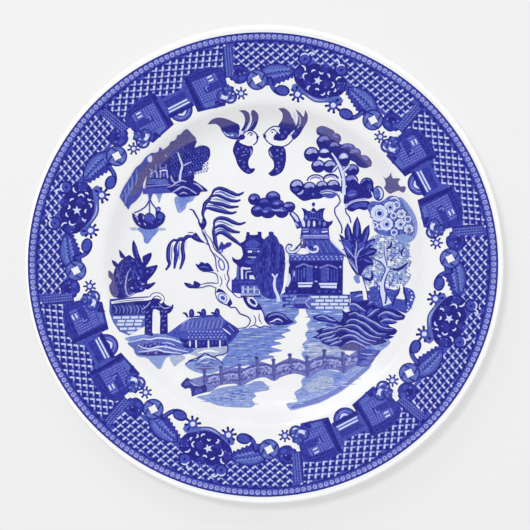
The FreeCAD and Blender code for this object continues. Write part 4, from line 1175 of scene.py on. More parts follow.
def second_pagoda(name):
    pagoda = Print(name)
    pagoda.area(NAVY, [(-9.6, 17.7), (-8, 17.6)], [(-7.8, 16.2), (-3.7, 16.2)],
        [(-3.4, 17.8), (-1.5, 17.7)], [(-1.2, 14.6), (0.2, 13.6)], [(1.6, 8), (1.4, 0), (-2, -8.4)],
        [(-8, -8.6), (-16.8, -8.4)], [(-15, -6), (-14.6, -1)], [(-15.6, 0.2), (-17.2, 1.6), (-17.8, 4.2)],
        [(-15, 2.6), (-12.8, 3.2), (-11.7, 5.2)], [(-12.2, 8.2), (-13.6, 11.4)],
        [(-12, 12.2), (-10.6, 13.2), (-10, 15.2)], [(-9.8, 16.4), (-9.6, 17.7)])
    pagoda.blob(COBALT, (-10.4, 11), (-6.4, 13.6), (-2.4, 11.2), (-4.6, 9), (-8.4, 9.2))
    pagoda.blob(COBALT, (-11, 1.8), (-6, 2.6), (-1.6, 1.4), (-4, 0), (-9, 0.2))
    for x in (-10, -7.6, -5.2, -2.8):
        pagoda.line(COBALT, 0.7, (x, 15.4), (x - 0.2, 13.6), ends=(0.4, 0.4))
    for x, y, chance in spread([(-9.6, 15), (-1, 14), (0, 2), (-14, 1), (-11.6, 6), (-13, 11)], 60, 3):
        pagoda.line(COBALT, 0.4, (x - 0.8, y - 0.3), (x + 0.8, y + 0.3), ends=(0.3, 0.3))
    pagoda.sharps(
        (PALE, 1.2, (-9, 6.9), (-6.7, 6.9)), (LILAC, 1, (-4, 7), (-2.1, 7)),
        (BAND, 0.8, (-6.2, 7), (-4.6, 7)),
    )
    pagoda.line(LILAC, 0.9, (-9, 4), (-5.4, 3.7), (-2.2, 4.1), ends=(0.5, 0.5))
    pagoda.line(BAND, 0.6, (-10, 8.8), (-5.6, 8.4), (-1.6, 8.9), ends=(0.5, 0.5))
    # The ground floor and its door.
    pagoda.facet(BAND, (-15, -1), (-13.8, -1), (-13.8, -8.4), (-15.4, -8.4))
    pagoda.line(PALE, 1.2, (-7.4, -2.3), (-10.4, -2.4), (-12.1, -2.1), (-12.2, -4.6), (-12.1, -8.2),
        ends=(0.7, 1))
    pagoda.line(LILAC, 0.85, (-6.8, -4), (-9.2, -4.1), (-9.9, -4.6), (-9.9, -8), ends=(0.6, 1))
    pagoda.facet(PALE, (-8.1, -6), (-6, -6), (-4.9, -8.2), (-8.1, -8.2))
    pagoda.facet(INDIGO, (-17.9, -8.4), (-1.8, -8.2), (-1.8, -11.8), (-12.5, -11.7), (-12.4, -16.2),
        (-17.9, -15.6))
    pagoda.line(COBALT, 0.8, (-16.6, -9.8), (-10, -9.8), (-4, -9.6), ends=(0.4, 0.4))
    pagoda.facet(BAND, (-12.4, -11.7), (-3.3, -11.7), (-2.6, -17), (-12.3, -17))
    for x in (-11.6, -8.9, -5.4):
        pagoda.sharp(PALE, 0.7, (x, -12.2), (x, -15.8))
    pagoda.sharps(
        (MIST, 0.6, (-12.2, -13.7), (-3.6, -13.7)), (LILAC, 0.9, (-13, -16.5), (-2.8, -16.5)),
        (NAVY, 0.8, (-13, -17.5), (-1.8, -17.6)),
    )
    return pagoda
def willow(name):
    tree = Print(name)
    # The trunk is bare white between dark outlines.
    tree.area(PAPER, [(-33.5, 18.4), (-31.6, 13.2), (-29.6, 8.2), (-26.9, 3.4), (-26.2, -1.6), (-25.2, -6),
        (-26.4, -13), (-26.2, -18)], [(-23, -21.4), (-18.3, -23.6), (-14.8, -25), (-8.8, -29),
        (-7.6, -31.6), (-10, -34.4)], [(3.6, -34.2)], [(0.3, -30.4), (-1.2, -25), (-3.4, -21.8),
        (-11.4, -17.6)], [(-13.8, -18.2), (-19.4, -13.4), (-20.4, -10.6)],
        [(-19.4, -7.4), (-19.6, -1.8), (-22.2, 3.8), (-26.5, 7.6), (-29.2, 13), (-32.6, 18.8)])
    for width, route in (
        (0.75, ((-34.5, 19.5), (-33.4, 16.5), (-31.5, 13), (-30.2, 10.4), (-29.4, 8), (-28, 5.8),
            (-26.8, 3.4), (-26.2, -1.5), (-25.2, -4.4))),
        (0.75, ((-32.8, 18.8), (-31.8, 16.5), (-30, 14.5), (-28.5, 12), (-27.7, 9.5), (-26.4, 7.5),
            (-24, 5.6), (-22, 3.6), (-20.2, 1), (-19.6, -2), (-20.2, -5), (-19.3, -8), (-20.5, -11.5),
            (-19.5, -13.5), (-17.5, -15.5), (-15.5, -17.5), (-13.6, -18.4), (-11.4, -17.8))),
        (0.6, ((-33.5, 18), (-32, 15), (-30.8, 12.4))),
        (0.65, ((-27.5, 6), (-25.5, 4), (-23.5, 2.5), (-22, 0.4))),
        (0.75, ((-26.5, -13), (-26.8, -15.2), (-26.2, -18), (-24.8, -20.2), (-22.4, -21.6), (-20, -22.5),
            (-18.2, -23.7), (-16, -23.6), (-14.8, -25), (-13.4, -27), (-11, -28), (-8.8, -29), (-7.6, -31),
            (-8.5, -33.2), (-10.2, -34.6), (-14.2, -35.2))),
        (0.75, ((-11.5, -17.8), (-7, -19.4), (-3, -22), (-1.3, -25), (0, -28), (0.4, -30.6), (1.8, -32.6),
            (3.6, -34))),
        (0.65, ((-8.4, -34.6), (-5, -33.4), (-2.6, -34.6), (1, -33.8), (3.8, -35))),
        (0.6, ((-5.8, -28), (-4.6, -30.6), (-5.4, -33.2))),
        (0.6, ((-2.6, -27), (-2.8, -30), (-1.4, -32.6))),
        (0.55, ((-24.4, -6.4), (-23.2, -9.4), (-24.2, -12.4))), (0.55, ((-21.8, -5.4), (-21.2, -8.6))),
    ):
        tree.line(INDIGO, width, *route, ends=(0.6, 0.7))
    tree.ring(BAND, 0.8, -23.4, -0.2, 1.4, 3, 18)
    tree.area(NAVY, [(-26.6, -15.6), (-25.2, -13.4), (-22.8, -14.2), (-20.4, -16.4), (-18.2, -19.4),
        (-17.4, -21.6)], [(-19, -23.2), (-20.6, -22)], [(-19, -18.6), (-22.6, -15.6), (-26.6, -15.6)])
    tree.discs(
        (SKY, -22.8, -18.4, 3.1, 2.3, -45), (PALE, -22.8, -18.5, 2.5, 1.7, -45),
        (COBALT, -22.7, -18.5, 1.5, 1, -45),
    )
    tree.area(NAVY, [(-12, -17.8), (-10.8, -20.8), (-8.8, -23.6), (-6, -25), (-2, -25.2)],
        [(-1.4, -24), (-3.4, -21.8)], [(-5, -23.4), (-8.6, -21.2), (-9.6, -18.2)], [(-12, -17.8)])
    tree.disc(PALE, -6.3, -20.6, 3.1, 1.9, -45)
    tree.disc(NAVY, -6.3, -20.6, 2.2, 1.05, -45)
    # The hanging fronds.
    for route in (
        ((-28.5, 38.5), (-27.5, 40.5), (-25, 41.6), (-22, 41), (-18, 39.2), (-14.5, 38), (-11.2, 39.4)),
        ((-28.8, 37.2), (-26, 37.8), (-23, 37), (-19, 35.2), (-15.5, 34.6), (-13, 35.2)),
        ((-31, 34.4), (-28.5, 33.8), (-26, 33.3), (-22.5, 32.6), (-19, 31.4), (-14, 31.6)),
        ((-33, 30), (-31, 30.8), (-28, 30.2), (-24, 29.2), (-20, 28.3), (-17.5, 28), (-15.2, 28.8)),
        ((-27.5, 21), (-27.3, 23.5), (-25.5, 25), (-23.5, 25.3), (-20.5, 24.7), (-17, 23), (-13.5, 22),
            (-10.2, 23)),
        ((-27.3, 19.5), (-25.5, 20.8), (-23, 21), (-20, 19.4), (-17, 18), (-13.4, 17.5)),
        ((-27, 15.2), (-25.3, 17), (-23, 17.3), (-20.5, 16), (-18, 14.3), (-15.5, 12.5), (-11.8, 9.5)),
        ((-28.5, 38.5), (-30.3, 35.5), (-32.5, 33), (-33, 30.5), (-33.7, 27.5), (-33, 25)),
        ((-27.5, 21), (-27.8, 18), (-27.2, 15), (-26.8, 12), (-25.3, 7.5)),
        ((-49.5, 13.5), (-51.5, 11.5), (-52.6, 8), (-52.6, 3), (-52, 0), (-54, -3.3)),
        ((-47.5, 12.5), (-48.8, 9), (-48.3, 5), (-48.8, 1), (-49.3, -2.5)),
        ((-41.5, 15), (-44, 13), (-44.8, 9), (-44.3, 4), (-45, 0.6), (-46.2, -2.8)),
        ((-50, 13.5), (-47.5, 13), (-46, 13.8), (-44, 13.7), (-42, 15.2), (-38, 15)),
    ):
        tree.line(NAVY, 2.25, *route, ends=(0.5, 0.45))
        tree.line(COBALT, 0.45, *((x + 0.2, y + 0.35) for x, y in route), ends=(0.3, 0.3))
    for tone, width, route in (
        (BAND, 1.1, ((-27, 39.2), (-23.6, 39.6), (-19.6, 37.6), (-15.6, 36.4))),
        (PALE, 0.6, ((-27.6, 38.6), (-24.2, 38.6), (-20.4, 37), (-17, 35.6))),
        (SKY, 1, ((-29.4, 35.8), (-25.6, 35.6), (-22, 34.6), (-18.4, 33))),
        (PALE, 0.5, ((-27, 35), (-23, 34.2), (-19.4, 33))),
        (BAND, 1, ((-31.8, 32.4), (-28.4, 32.2), (-24.6, 31.2), (-20.6, 29.8))),
        (SKY, 0.9, ((-26.6, 22.8), (-24, 23.4), (-20.6, 22.2), (-16.8, 20.6))),
        (BAND, 0.9, ((-26.8, 17.8), (-24.4, 19.2), (-21.4, 18.4), (-18, 16.2))),
        (SKY, 0.9, ((-50.4, 10.6), (-50.9, 6.4), (-50.6, 1.6))),
        (BAND, 0.9, ((-46.6, 12.2), (-46.9, 7.6), (-46.6, 2.4))), (SKY, 0.8, ((-42.8, 12.6), (-43, 8.6))),
    ):
        tree.line(tone, width, *route, ends=(0.4, 0.3))
    for places in (
        ((-40, 14.8), (-37.6, 17.3), (-36, 15.5), (-34.5, 13.5), (-32.5, 11.8), (-35, 12), (-37.5, 12.8)),
        ((-33.5, 26.5), (-32, 24.5), (-31.6, 22), (-32.5, 20), (-33.5, 18.8), (-35, 20), (-36, 22),
            (-36.3, 24), (-34.5, 22.5)),
        ((-37.7, 0.3), (-36, -0.2), (-34.5, 1.3), (-32.5, 0.5), (-31, 0.8), (-29.5, -0.5), (-28.3, -2.5),
            (-27.5, -3.6), (-30, -3.8), (-34.5, -3.7), (-36.5, -2)),
        ((-44, -10.2), (-41, -10.5), (-39, -11.2), (-38.5, -9.2), (-36, -10), (-34.8, -11.3), (-36, -12.8),
            (-39, -13.3), (-42, -12.8)),
    ):
        tree.blob(NAVY, *places)
    tree.lines(
        (BAND, 0.8, (-38.2, 15.2), (-36, 14.2)), (BAND, 0.8, (-34, 24.6), (-33.4, 22.2)),
        (BAND, 0.8, (-35.4, -1.6), (-32.4, -1.4), (-30.4, -2.4)),
        (BAND, 0.7, (-41.6, -11.6), (-38.4, -11.6)),
        ends=(0.4, 0.4),
    )
    for width, route in (
        (0.9, ((-41.8, 17.4), (-38.8, 17.3))), (0.6, ((-32.5, 11.8), (-30.5, 10.5), (-29.8, 9))),
        (1, ((-41, 30.3), (-39, 29.5), (-37.8, 27.5), (-35.5, 23.5))),
        (0.6, ((-34, -4), (-30, -4.2), (-27, -5), (-25.7, -6.5), (-25.2, -10.5))),
        (0.6, ((-35, -11.2), (-31, -10.3), (-25.2, -10.5))),
        (0.6, ((-38, -13.2), (-34, -12.7), (-30, -11.8), (-26, -13.2))),
    ):
        tree.line(INDIGO, width, *route, ends=(0.5, 0.6))
    tree.blob(INDIGO, (-25, 8.5), (-24, 11.5), (-23.3, 12.5), (-22, 10.8), (-20, 12), (-17.8, 11.5),
        (-18.5, 10), (-20.5, 9), (-22.5, 8))
    tree.disc(COBALT, -23.9, 7.4, 1.4, 1.2)
    tree.disc(LILAC, -23.8, 7.3, 0.8, 0.7)
    return tree


def left_bush(name):
    bush = Print(name)
    bush.blob(NAVY, (-74.4, 5), (-71.6, 3.4), (-67.4, 1.6), (-64.6, -1.6), (-64, -7.4), (-64.6, -12.6),
        (-66.6, -15), (-70, -15.8), (-74, -17.8), (-81, -18.2), (-83.6, -13), (-82.6, -6), (-80.6, -0.6))
    for outline in (
        ((-71.8, 13.2), (-70, 10), (-69, 6.5), (-67.2, 1), (-70.6, 2.6), (-72.4, 8)),
        ((-79.3, 8), (-77.5, 6), (-76, 3.6), (-78.6, 3.6)),
        ((-83.2, 2.2), (-81, 1.2), (-79, -2), (-82, -1)),
        ((-66.8, 3.8), (-65, 5.2), (-61.9, 6.3), (-61.8, 4.2), (-63.2, 1.2), (-65.4, -1.4)),
        ((-65.4, -2.4), (-62, -1), (-58.5, -0.6), (-59.5, -3.6), (-62, -7), (-65, -9.4)),
        ((-65.4, -11.4), (-62, -10.4), (-59.5, -9.9), (-61.3, -12.2), (-64.4, -13.9)),
    ):
        bush.blob(NAVY, *outline)
    # The plum edge and stroke are painted reflection over the dark bush, on the side of the well.
    bush.blob(PLUM_AND_REFLECTION, (-84.9, -3.4), (-82.4, -5.6), (-81.4, -10), (-79.4, -14.6), (-81, -18.2),
        (-83.4, -16.6), (-84.6, -12), (-83.2, -9), (-84.8, -7))
    bush.line(PLUM_AND_REFLECTION, 0.8, (-80.6, -1.6), (-80, -6), (-78.6, -11), ends=(0.3, 0.3))
    for width, route in (
        (1, ((-70.9, 10.6), (-70, 7), (-69.4, 3.2))), (1, ((-64.6, 3.4), (-63, 4.2))),
        (1.1, ((-63, -2.6), (-60.8, -2.4), (-62.6, -5.4))),
        (0.9, ((-77.4, 1.6), (-78.6, -3.2), (-79.4, -8))), (1, ((-70.6, -1.4), (-71.8, -5), (-71.6, -9.4))),
        (0.9, ((-67.4, -2.6), (-67, -6.4))), (0.9, ((-80.8, -11.4), (-80, -15.2))),
        (1, ((-73.4, 1.8), (-75.4, -1.6))), (0.9, ((-66, -12.8), (-69.6, -13))),
        (0.9, ((-77.8, -13.4), (-77.2, -16.4))), (0.8, ((-62.6, -11.2), (-61.2, -11))),
    ):
        bush.line(COBALT, width, *route, ends=(0.3, 0.3))
    speckle(bush, COBALT, 0.55, [(-74, 4), (-68, 0), (-65, -6), (-66, -14), (-74, -17), (-82, -16),
        (-81, -2)], 46, 2, 2)
    bush.line(LILAC, 0.75, (-73, -2), (-74.8, -5), (-75.7, -9), (-76, -12), (-75.5, -15.4), (-74.2, -17.2),
        (-71, -15.6), ends=(0.4, 0.7))
    bush.line(LILAC, 0.7, (-74.6, -9), (-72.6, -7.6), ends=(0.5, 0.4))
    bush.dots(LILAC, 0.6, (-72.5, -13), (-66.8, -10.8), (-69, -7.8))
    bush.dots(BEAD, 0.55, (-78.6, -10.4), (-80.4, -6), (-67.6, -13.4), (-64, -4))
    return bush


def wall_and_gate(name):
    wall = Print(name)
    wall.facet(COBALT, (-84.2, -19), (-75, -18.2), (-63.8, -17.6), (-64.2, -28.6), (-73.8, -39),
        (-79, -36.6), (-82.4, -31.6), (-84.4, -26))
    wall.facet(NAVY, (-83, -21.4), (-65.4, -20.2), (-65, -27.4), (-83.2, -28))
    for streak in range(9):
        x = -82 + 1.95 * streak
        wall.line(BAND if streak % 2 else BEAD, 0.8, (x, -22.4), (x + 1.4, -24.4), (x + 1, -27),
            ends=(0.5, 0.5))
    wall.facet(BAND, (-83.2, -28), (-65.2, -27.6), (-64.6, -33.6), (-73.8, -38.8), (-78.6, -36.4),
        (-82.2, -31.8))
    bricks(wall, -82.2, -29.1, -65.6, 2, -1.95, 4.6)
    bricks(wall, -80.4, -32.9, -65.8, 1, -1.95, 4.6)
    bricks(wall, -78.6, -35.2, -67.2, 1, -1.95, 4.4)
    bricks(wall, -74.6, -37.3, -70, 1, -1.95, 4.4)
    # The gate: curling cap, open doorway and two checked posts.
    wall.facet(NAVY, (-65.2, -20), (-61, -20.6), (-61, -39.4), (-65.6, -38.4))
    wall.facet(NAVY, (-57.4, -22), (-53, -24.4), (-52.8, -38.4), (-57.2, -38.4))
    wall.area(PAPER, [(-61.2, -26.4), (-59.6, -25.2), (-57.8, -26), (-57, -28.8)], [(-57.3, -37)],
        [(-60, -38.3)], [(-61.4, -37.6)], [(-61.2, -26.4)])
    wall.area(NAVY, [(-61.4, -18.6), (-58.4, -18.8), (-55.6, -20)], [(-53.8, -22.2), (-51.4, -23)],
        [(-49.9, -22), (-49.9, -24.2)], [(-51.4, -26.4), (-53, -27.2)], [(-57.4, -25.6)], [(-59.6, -24.6)],
        [(-62.4, -25.2)], [(-67.6, -25.6)], [(-64.4, -22.4), (-62.6, -19.6)], [(-61.4, -18.6)])
    # The pale roll along the top of the wall, which ends in a curl over the gate.
    roll = ((-83.4, -21), (-78, -20.2), (-70, -19.4), (-62.6, -18.8), (-60.9, -17.1), (-58.6, -16.5),
        (-56.4, -17.6), (-55.6, -19.7), (-57, -21.3))
    wall.line(NAVY, 2.5, *roll, ends=(0.9, 0.8))
    wall.line(PAPER, 1.5, *roll, ends=(0.9, 0.8))
    wall.line(BAND, 0.5, (-82, -20.9), (-76, -20), (-66, -19.2), ends=(0.5, 0.5))
    wall.line(LILAC, 0.6, (-58, -21.5), (-55, -24.1), (-52, -23.6), (-50.6, -22.6), ends=(0.6, 0.5))
    wall.line(LILAC, 0.6, (-62.4, -20.6), (-64.6, -23.2), (-67, -25), ends=(0.6, 0.6))
    for x, y in ((-61.3, -23.3), (-59.3, -23.5), (-57.5, -23.3), (-56, -25.8), (-54, -26), (-66, -26.2),
            (-64, -26.3), (-63, -28.5), (-64.2, -30.2), (-62.8, -31.8), (-56.5, -28.5), (-54.3, -28.5),
            (-55.3, -31), (-54.5, -33.5), (-64, -34), (-62.8, -36.2), (-55.6, -36)):
        wall.line(BEAD, 0.75, (x - 0.6, y - 0.35), (x + 0.6, y + 0.35), ends=(0.7, 0.7))
    return wall


def house_on_the_bank(name):
    house = Print(name)
    house.area(COBALT, [(-54, -38.6), (-49, -35), (-45, -32), (-41.4, -29.8)], [(-24, -27.8)],
        [(-21.4, -30.4), (-14.6, -35), (-13.4, -36.6)], [(-16.4, -41), (-19.8, -44.2)],
        [(-36, -44.4), (-42.2, -45.4)], [(-46, -41.4), (-54, -38.6)])
    house.facet(BAND, (-45.6, -33), (-41, -30.4), (-24.4, -28.6), (-20.8, -31.6), (-24, -35.4),
        (-46.4, -36.6))
    for streak in range(10):
        x = -43.4 + 2.3 * streak
        house.line(BEAD, 0.85, (x, -30.8), (x - 0.6, -33), (x - 1.4, -35.2), ends=(0.4, 0.6))
        house.line(COBALT, 0.75, (x + 1.1, -30.8), (x + 0.5, -33), (x - 0.3, -35.2), ends=(0.4, 0.6))
    for row, y in enumerate((-36.9, -38.5, -40, -41.5)):
        for column in range(11):
            x = -41.4 + 2 * column + 0.9 * (row % 2)
            if x < -20.4 - 0.4 * row:
                house.disc(BEAD if row % 2 else LILAC, x, y, 0.5, 0.42)
    house.facet(INDIGO, (-20.6, -31.2), (-14.4, -35.4), (-13.6, -36.8), (-19.4, -42.4), (-21, -38),
        (-23.4, -35.4))
    house.line(PALE, 0.8, (-22.8, -35.2), (-20.6, -36.8), (-18.4, -38.6), ends=(0.4, 0.5))
    house.line(LILAC, 0.7, (-19.6, -33.4), (-16.6, -36.8), ends=(0.4, 0.4))
    house.line(LILAC, 0.7, (-45.6, -33.2), (-43.2, -31.2), (-41, -30), ends=(0.4, 0.4))
    for x, y in ((-39.8, -27.2), (-33.3, -27), (-25.8, -26.8)):
        house.disc(NAVY, x, y + 0.2, 1.5, 2.5)
        house.disc(COBALT, x - 0.1, y + 0.6, 0.6, 1.1)
    for x, y in ((-44.3, -27.3), (-36.5, -26.9), (-28.8, -27.2)):
        house.line(NAVY, 1.3, (x - 0.4, y + 0.6), (x + 1.2, y + 0.2), (x + 2.2, y - 1.6), ends=(0.5, 0.7))
    house.line(INDIGO, 0.9, (-42.6, -29), (-33, -28.4), (-24, -27.8), ends=(0.5, 0.5))
    # The open front with its posts, and the pale floor.
    house.area(MIST, [(-40.8, -49.2), (-36.4, -45.8)], [(-20.6, -43.8)], [(-20.2, -47.6), (-22, -49.4)],
        [(-27, -50.2), (-30.6, -49.6)], [(-36, -50.8)], [(-40.8, -49.2)])
    house.facet(NAVY, (-46.6, -40.6), (-41.6, -41.4), (-20.6, -41.8), (-20.4, -44.8), (-30, -45.6),
        (-38, -46.2), (-44, -45.6))
    for x in (-44.4, -42.2, -39.8, -35.4, -33.2, -28.4, -26.4, -22.6):
        house.disc(COBALT, x, -43.2, 0.55, 0.9)
    for x, top, foot in ((-37.4, -41.6, -45.8), (-30.6, -41.8, -46.2), (-24.3, -41.8, -45.8),
            (-40.8, -42, -45)):
        house.sharp(PALE, 0.9, (x, top), (x + 0.1, foot))
    house.line(PAPER, 1.2, (-36.4, -48.8), (-31, -47.4), (-25, -48.2), ends=(0.4, 0.4))
    house.line(INDIGO, 0.7, (-20.3, -43.8), (-19.9, -46.4), (-20.6, -48.4), (-23, -49.6), (-25.6, -50),
        (-28, -50.9), (-30.5, -49.6), (-32.5, -49), (-36, -51), (-41.5, -53))
    return house


def bank(name):
    """The ground below the wall and the house, running down to the bridge."""
    ground = Print(name)
    ground.blob(WASH, (-76, -40.4), (-70, -39), (-60, -38), (-53, -39), (-45, -40), (-40, -44),
        (-36.4, -47.8), (-42, -49.2), (-50, -49.9), (-54, -51.8), (-57, -57.4), (-61, -54.4), (-64, -51.4),
        (-69, -50.2), (-71, -47.5), (-70.8, -44.6), (-74, -42.2))
    ground.blob(MIST, (-52, -50), (-49.2, -56), (-46.4, -54), (-43.2, -51.4), (-46, -49.4))
    ground.blob(SKY, (-74, -40.2), (-66, -38.4), (-58, -38), (-50, -39.6), (-44.6, -42), (-50, -43.2),
        (-60, -42.2), (-70, -42.8))
    ground.blob(BAND, (-74.4, -43), (-67, -41.4), (-58.4, -41), (-50, -41.8), (-43.4, -44.4),
        (-37.4, -47.2), (-44.8, -49.6), (-57.6, -50.2), (-69.4, -49.6), (-71.2, -46.4))
    ground.blob(INDIGO, (-69.6, -45.4), (-66, -43.6), (-59, -43), (-52.4, -43.6), (-48.4, -45.6),
        (-54.4, -44.6), (-62.4, -45.8))
    ground.blob(NAVY, (-69, -48.9), (-64.6, -48.2), (-58.8, -47.6), (-54, -48.6), (-50, -49.2),
        (-57, -49.8), (-64, -49.9))
    ground.blob(NAVY, (-67.6, -44.9), (-64.6, -44), (-60.6, -44.4), (-57.6, -44.6), (-62.4, -45.5))
    speckle(ground, BAND, 0.42, [(-72, -40.6), (-60, -38.8), (-50, -40.2), (-46, -41.8), (-56, -41.4),
        (-68, -42)], 46, 3, 2.2)
    speckle(ground, BEAD, 0.42, [(-70, -43.4), (-58, -42), (-47, -44), (-40, -47.4), (-52, -49),
        (-68, -48.6)], 70, 7, 2.2)
    for width, route in (
        (0.8, ((-73.4, -42.6), (-69.8, -41.8), (-66.4, -40.9), (-62.4, -41.2), (-58.4, -40.4),
            (-50.4, -41.3), (-43.2, -44.1), (-38.2, -46.5))),
        (0.8, ((-69, -44.3), (-65.6, -45.8), (-62.4, -46.3), (-58.4, -45.3), (-54.4, -45.2), (-48, -46.8),
            (-41.6, -48.1))),
        (0.7, ((-68.8, -47.9), (-64, -47.5), (-58.4, -46.8), (-54.6, -47.9), (-51.2, -48.3),
            (-45.2, -48.9))),
        (0.5, ((-56, -43.1), (-52.4, -43.2), (-49, -44.4))),
    ):
        ground.line(PALE, width, *route, ends=(0.4, 0.4))
    return ground


def islets(name):
    isles = Print(name)
    isles.blob(WASH, (-43.4, -55.2), (-40.4, -57.8), (-36, -59.6), (-31, -60.2), (-26, -59), (-22.4, -56.4),
        (-24.4, -53), (-30, -50.8), (-36.4, -52.2), (-40.4, -53.2))
    isles.blob(SKY, (-38.4, -54.6), (-35, -52.2), (-31, -51), (-27, -52), (-24.4, -54.4), (-28, -56.4),
        (-34, -56.6))
    # The plum strokes are painted reflection over the islet's print.
    for route in (((-36.4, -53.9), (-34.2, -52.7), (-31.4, -52.9)),
            ((-30.4, -52), (-28, -52.3), (-26.2, -53.5)), ((-38.2, -55.6), (-35.4, -54.6), (-32.6, -55)),
            ((-31.4, -54), (-28.8, -54.2), (-26.4, -54.9)), ((-35.2, -56.3), (-31.8, -56), (-28.6, -56.2))):
        isles.line(PLUM_AND_REFLECTION, 0.75, *route, ends=(0.3, 0.3))
    isles.line(PALE, 0.5, (-34.8, -54.2), (-32.2, -54.1), (-29.8, -53.3), ends=(0.3, 0.3))
    isles.line(INDIGO, 0.7, (-43.4, -55), (-40.8, -53.2), (-37.6, -52.8), (-35.4, -51.2), (-32.4, -49.9),
        (-29.8, -50.1), (-27.4, -51), (-24.6, -52.8), (-22.6, -55))
    isles.line(PALE, 0.7, (-36.6, -53.8), (-34, -51.9), (-31.4, -51), (-26.6, -52.2), ends=(0.4, 0.4))
    # This plum line is painted reflection too.
    isles.line(PLUM_AND_REFLECTION, 0.9, (-38, -57.2), (-32, -57.4), (-27, -57), ends=(0.3, 0.3))
    # The dark islet under the willow.
    isles.blob(NAVY, (0.3, -31.2), (1, -28.4), (3.4, -26.6), (6.4, -26.2), (10.6, -27.2), (13.2, -29.6),
        (16, -31.6), (12, -33.2), (6, -33.4))
    isles.line(BEAD, 1, (2, -29.2), (4.2, -27.8), (7.6, -27.4), (10.4, -28.4), (12.6, -30.4), ends=(0.5, 0.5))
    isles.line(PALE, 0.75, (2.8, -31.8), (5, -31.1), (6.8, -30.1), (8.6, -30.4), (10.2, -31.6),
        ends=(0.4, 0.4))
    isles.line(COBALT, 0.7, (4, -32.6), (7.4, -31.8), (9.6, -32.4), ends=(0.4, 0.4))
    return isles


def water(name):
    water_print = Print(name)
    left_water = [(-20, -44), (-16, -40), (-13.5, -36.2), (-8, -35), (-2, -34.6), (0.4, -30), (-1.6, -24.4),
        (-4, -21), (-6, -17.6), (-2, -15.6), (4, -18), (9, -16.6), (10.2, -23.4), (18.6, -24.6),
        (18.8, -27.4), (16.6, -30), (18, -32), (12.4, -34.6), (14.6, -36.4), (9.6, -38.4), (11.6, -40.2),
        (5.4, -42), (9.6, -43.6), (3.8, -45.2), (9.8, -47.4), (2.4, -49.2), (5.4, -51), (-1, -52.6),
        (-5, -55), (-14, -56), (-22.6, -58), (-23.6, -53.4), (-20.4, -49)]
    water_print.blob(SKY, *left_water)
    right_water = [(22.8, -24.6), (33, -23.6), (43, -24.8), (52, -32), (66, -40), (69, -42.6),
        (64.6, -46.8), (58, -49.4), (50, -52.6), (42, -53.6), (34, -53), (28, -53.8), (23, -53),
        (20.4, -49), (22.2, -46.4), (20.8, -44), (23.4, -41.2), (22.4, -38.6), (24.2, -35.6), (23.2, -33),
        (25.2, -30.4), (23.6, -27.6)]
    water_print.blob(WASH, *right_water)
    water_print.blob(SKY, (27, -24.6), (42, -25.4), (42.6, -32), (38, -34), (30, -33.4), (26, -30))
    water_print.blob(MIST, (24, -44.6), (28, -42.6), (34.6, -45.4), (44, -46.8), (46, -48.6), (36, -49.4),
        (28, -51.4), (24, -50))
    water_print.blob(PAPER, (44, -47.8), (47.2, -47.6), (50.4, -48.2), (48.6, -49.6), (46, -50))
    for tone, outline in (
        (WASH, ((-37, -72.5), (-30, -71), (-28, -69), (-20, -67), (-10, -66), (-3, -64), (0, -65),
            (2.8, -68.6), (-2, -69.8), (-5.6, -70.6), (-4.4, -72.3), (-6.6, -74.2), (-5, -76.5),
            (-7, -78.3), (-13, -78.4), (-20, -78), (-26, -77), (-31, -75))),
        (WASH, ((16.5, -70.3), (20.6, -67.2), (20.4, -63.6), (24, -61), (32, -57.6), (43, -59), (50, -55.4),
            (55.4, -55), (58.6, -55), (57.4, -57.2), (53, -61), (47, -66), (41, -70.4), (36, -73),
            (30, -76), (24, -77.6), (19, -79), (14.4, -79.6), (12.2, -76.4), (18, -75), (17.2, -72.3))),
        (BAND, ((57.6, -55.6), (54, -57.2), (47.6, -62.4), (40, -67.6), (33, -71.4), (25, -74.2),
            (18.6, -76), (14.4, -78.6), (19, -78.4), (25, -77), (31, -75), (37, -72), (43, -68.4),
            (49, -63.8), (54.6, -59.2))),
        (MIST, ((23, -66.4), (27, -63.4), (33, -61.6), (38, -62.6), (37, -66.6), (30, -69.4), (24, -70))),
        (SKY, ((-30, -73), (-20, -70), (-10, -69), (-8, -72), (-14, -75), (-24, -75))),
        (SKY, ((38, -60.6), (46, -60), (52, -57.6), (48, -61.2), (42, -65.8), (34, -69.6), (26, -72.8),
            (30, -69.8), (38, -65.4))),
    ):
        water_print.blob(tone, *outline)
        ripples(water_print, BAND if tone == SKY else SKY, 0.45, 5.5, list(outline), 40)
        ripples(water_print, MIST, 0.55, 4.5, list(outline), 26, 3)
    ripples(water_print, BAND, 0.5, 6.5, left_water, 100, 1)
    ripples(water_print, COBALT, 0.35, 4, left_water, 24, 5)
    ripples(water_print, MIST, 0.6, 5.5, left_water, 70, 2)
    ripples(water_print, BAND, 0.5, 5, right_water, 60, 1)
    ripples(water_print, PALE, 0.6, 5, right_water, 46, 2)
    return water_print


